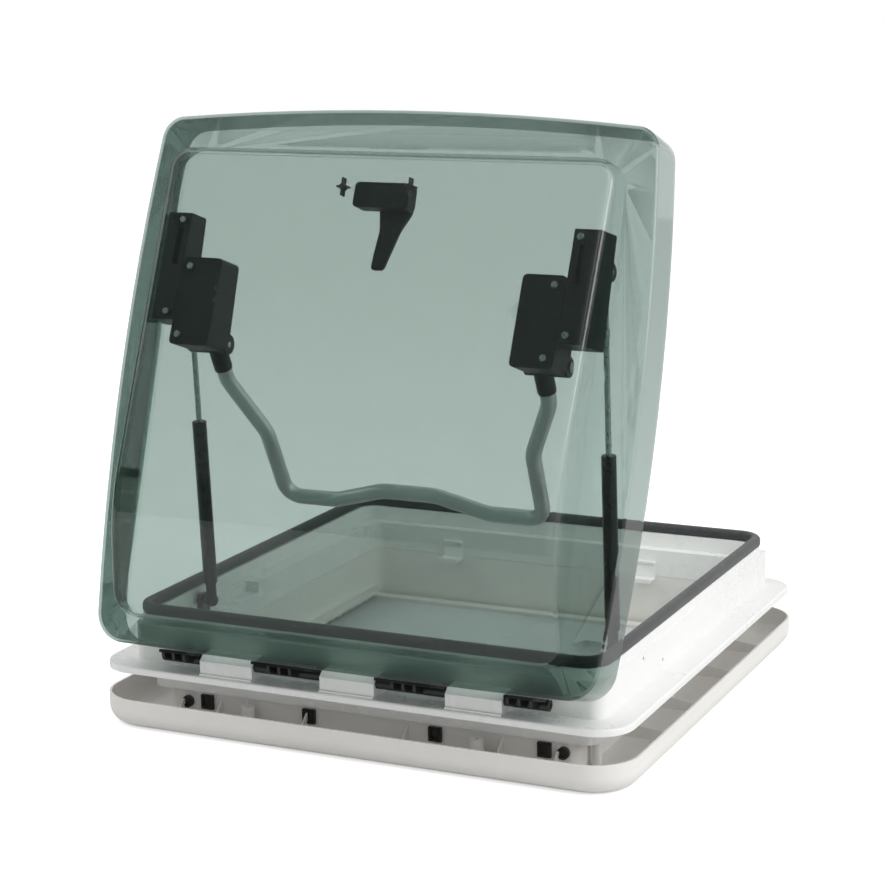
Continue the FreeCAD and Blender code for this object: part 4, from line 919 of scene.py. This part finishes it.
# %% [markdown]
# ## The latch lever and its spacers
# The lever is a tapered paddle that leaves the latch's right end and curves down to a narrow
# tip. It starts as a short block under the latch, whose front face is drawn out three times,
# each time narrower and further over: each of PADDLE_STEPS is the way across, the way to the
# front and the share of the width that is left. Beside the latch, between the two sheets of
# the lid, stand two spacers with crossed fins. All three are modelled as they lie with the
# lid shut, where their sides are square to the axes, and then turned up with it.

# %% Latch lever
PADDLE_CORNERS = ((-0.0085, 0.184, 0.0642), (0.0265, 0.2015, 0.0698))
PADDLE_STEPS = ((-0.004, -0.018, 0.62), (-0.0055, -0.022, 0.8), (-0.004, -0.018, 0.75))
PADDLE_ROUND, PADDLE_EASE = 0.0035, 0.0009


def turn_up(item):
    """Turns a piece about the hinge, from the shut lid to the open one."""
    edit(item)
    bpy.ops.mesh.select_all(action="SELECT")
    bpy.ops.transform.rotate(value=-LID_SWING, orient_axis="X", orient_type="GLOBAL",
                             center_override=HINGE)
    close(item)


paddle = slab("latch_paddle", *PADDLE_CORNERS)
edit(paddle)
choose(paddle, "FACE", faces_front)
for step_x, step_y, narrower in PADDLE_STEPS:
    bpy.ops.mesh.extrude_region_move(TRANSFORM_OT_translate={"value": (step_x, step_y, 0)})
    bpy.ops.transform.resize(value=(narrower, 1, 1))
choose(paddle, "EDGE", is_upright)
bpy.ops.mesh.bevel(offset=PADDLE_ROUND, segments=4, affect="EDGES")
choose(paddle, "EDGE", lambda edge: is_level(edge) and by_wall(edge))
bpy.ops.mesh.bevel(offset=PADDLE_EASE, segments=2, affect="EDGES")
close(paddle)
turn_up(paddle)
dress(paddle, "black_plastic", "latch")
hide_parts("latch_lever")
print("paddle faces:", len(paddle.data.polygons))

# %% Crossed spacers
SPACER_X, SPACER_Y = -0.0395, 0.2030
SPACER_STEP = (0.0730, 0.002, 0)
FIN_LOW, FIN_HIGH = 0.0895, 0.0975
FIN_THICK, FIN_WIDE, FIN_DEEP = 0.0016, 0.012, 0.018
CORE_RADIUS = 0.003


def fin(name, size_x, size_y):
    """A fin through the middle of the left spacer."""
    return slab(name, (SPACER_X - size_x / 2, SPACER_Y - size_y / 2, FIN_LOW),
                (SPACER_X + size_x / 2, SPACER_Y + size_y / 2, FIN_HIGH))


spacer = fin("crossed_spacer_left", FIN_WIDE, FIN_THICK)
crossing = fin("crossing_fin", FIN_THICK, FIN_DEEP)
core = drum("spacer_core", (SPACER_X, SPACER_Y, (FIN_LOW + FIN_HIGH) / 2), CORE_RADIUS,
            FIN_HIGH - FIN_LOW, "z")
for piece in (crossing, core):
    weld = spacer.modifiers.new("weld", "BOOLEAN")
    weld.operation = "UNION"
    weld.object = piece
    apply_all(spacer)
    bpy.data.objects.remove(piece)
second_spacer = another(spacer, "crossed_spacer_right", SPACER_STEP)
for item in (spacer, second_spacer):
    turn_up(item)
    dress(item, "black_plastic", "lid")
print("spacer faces:", len(spacer.data.polygons))
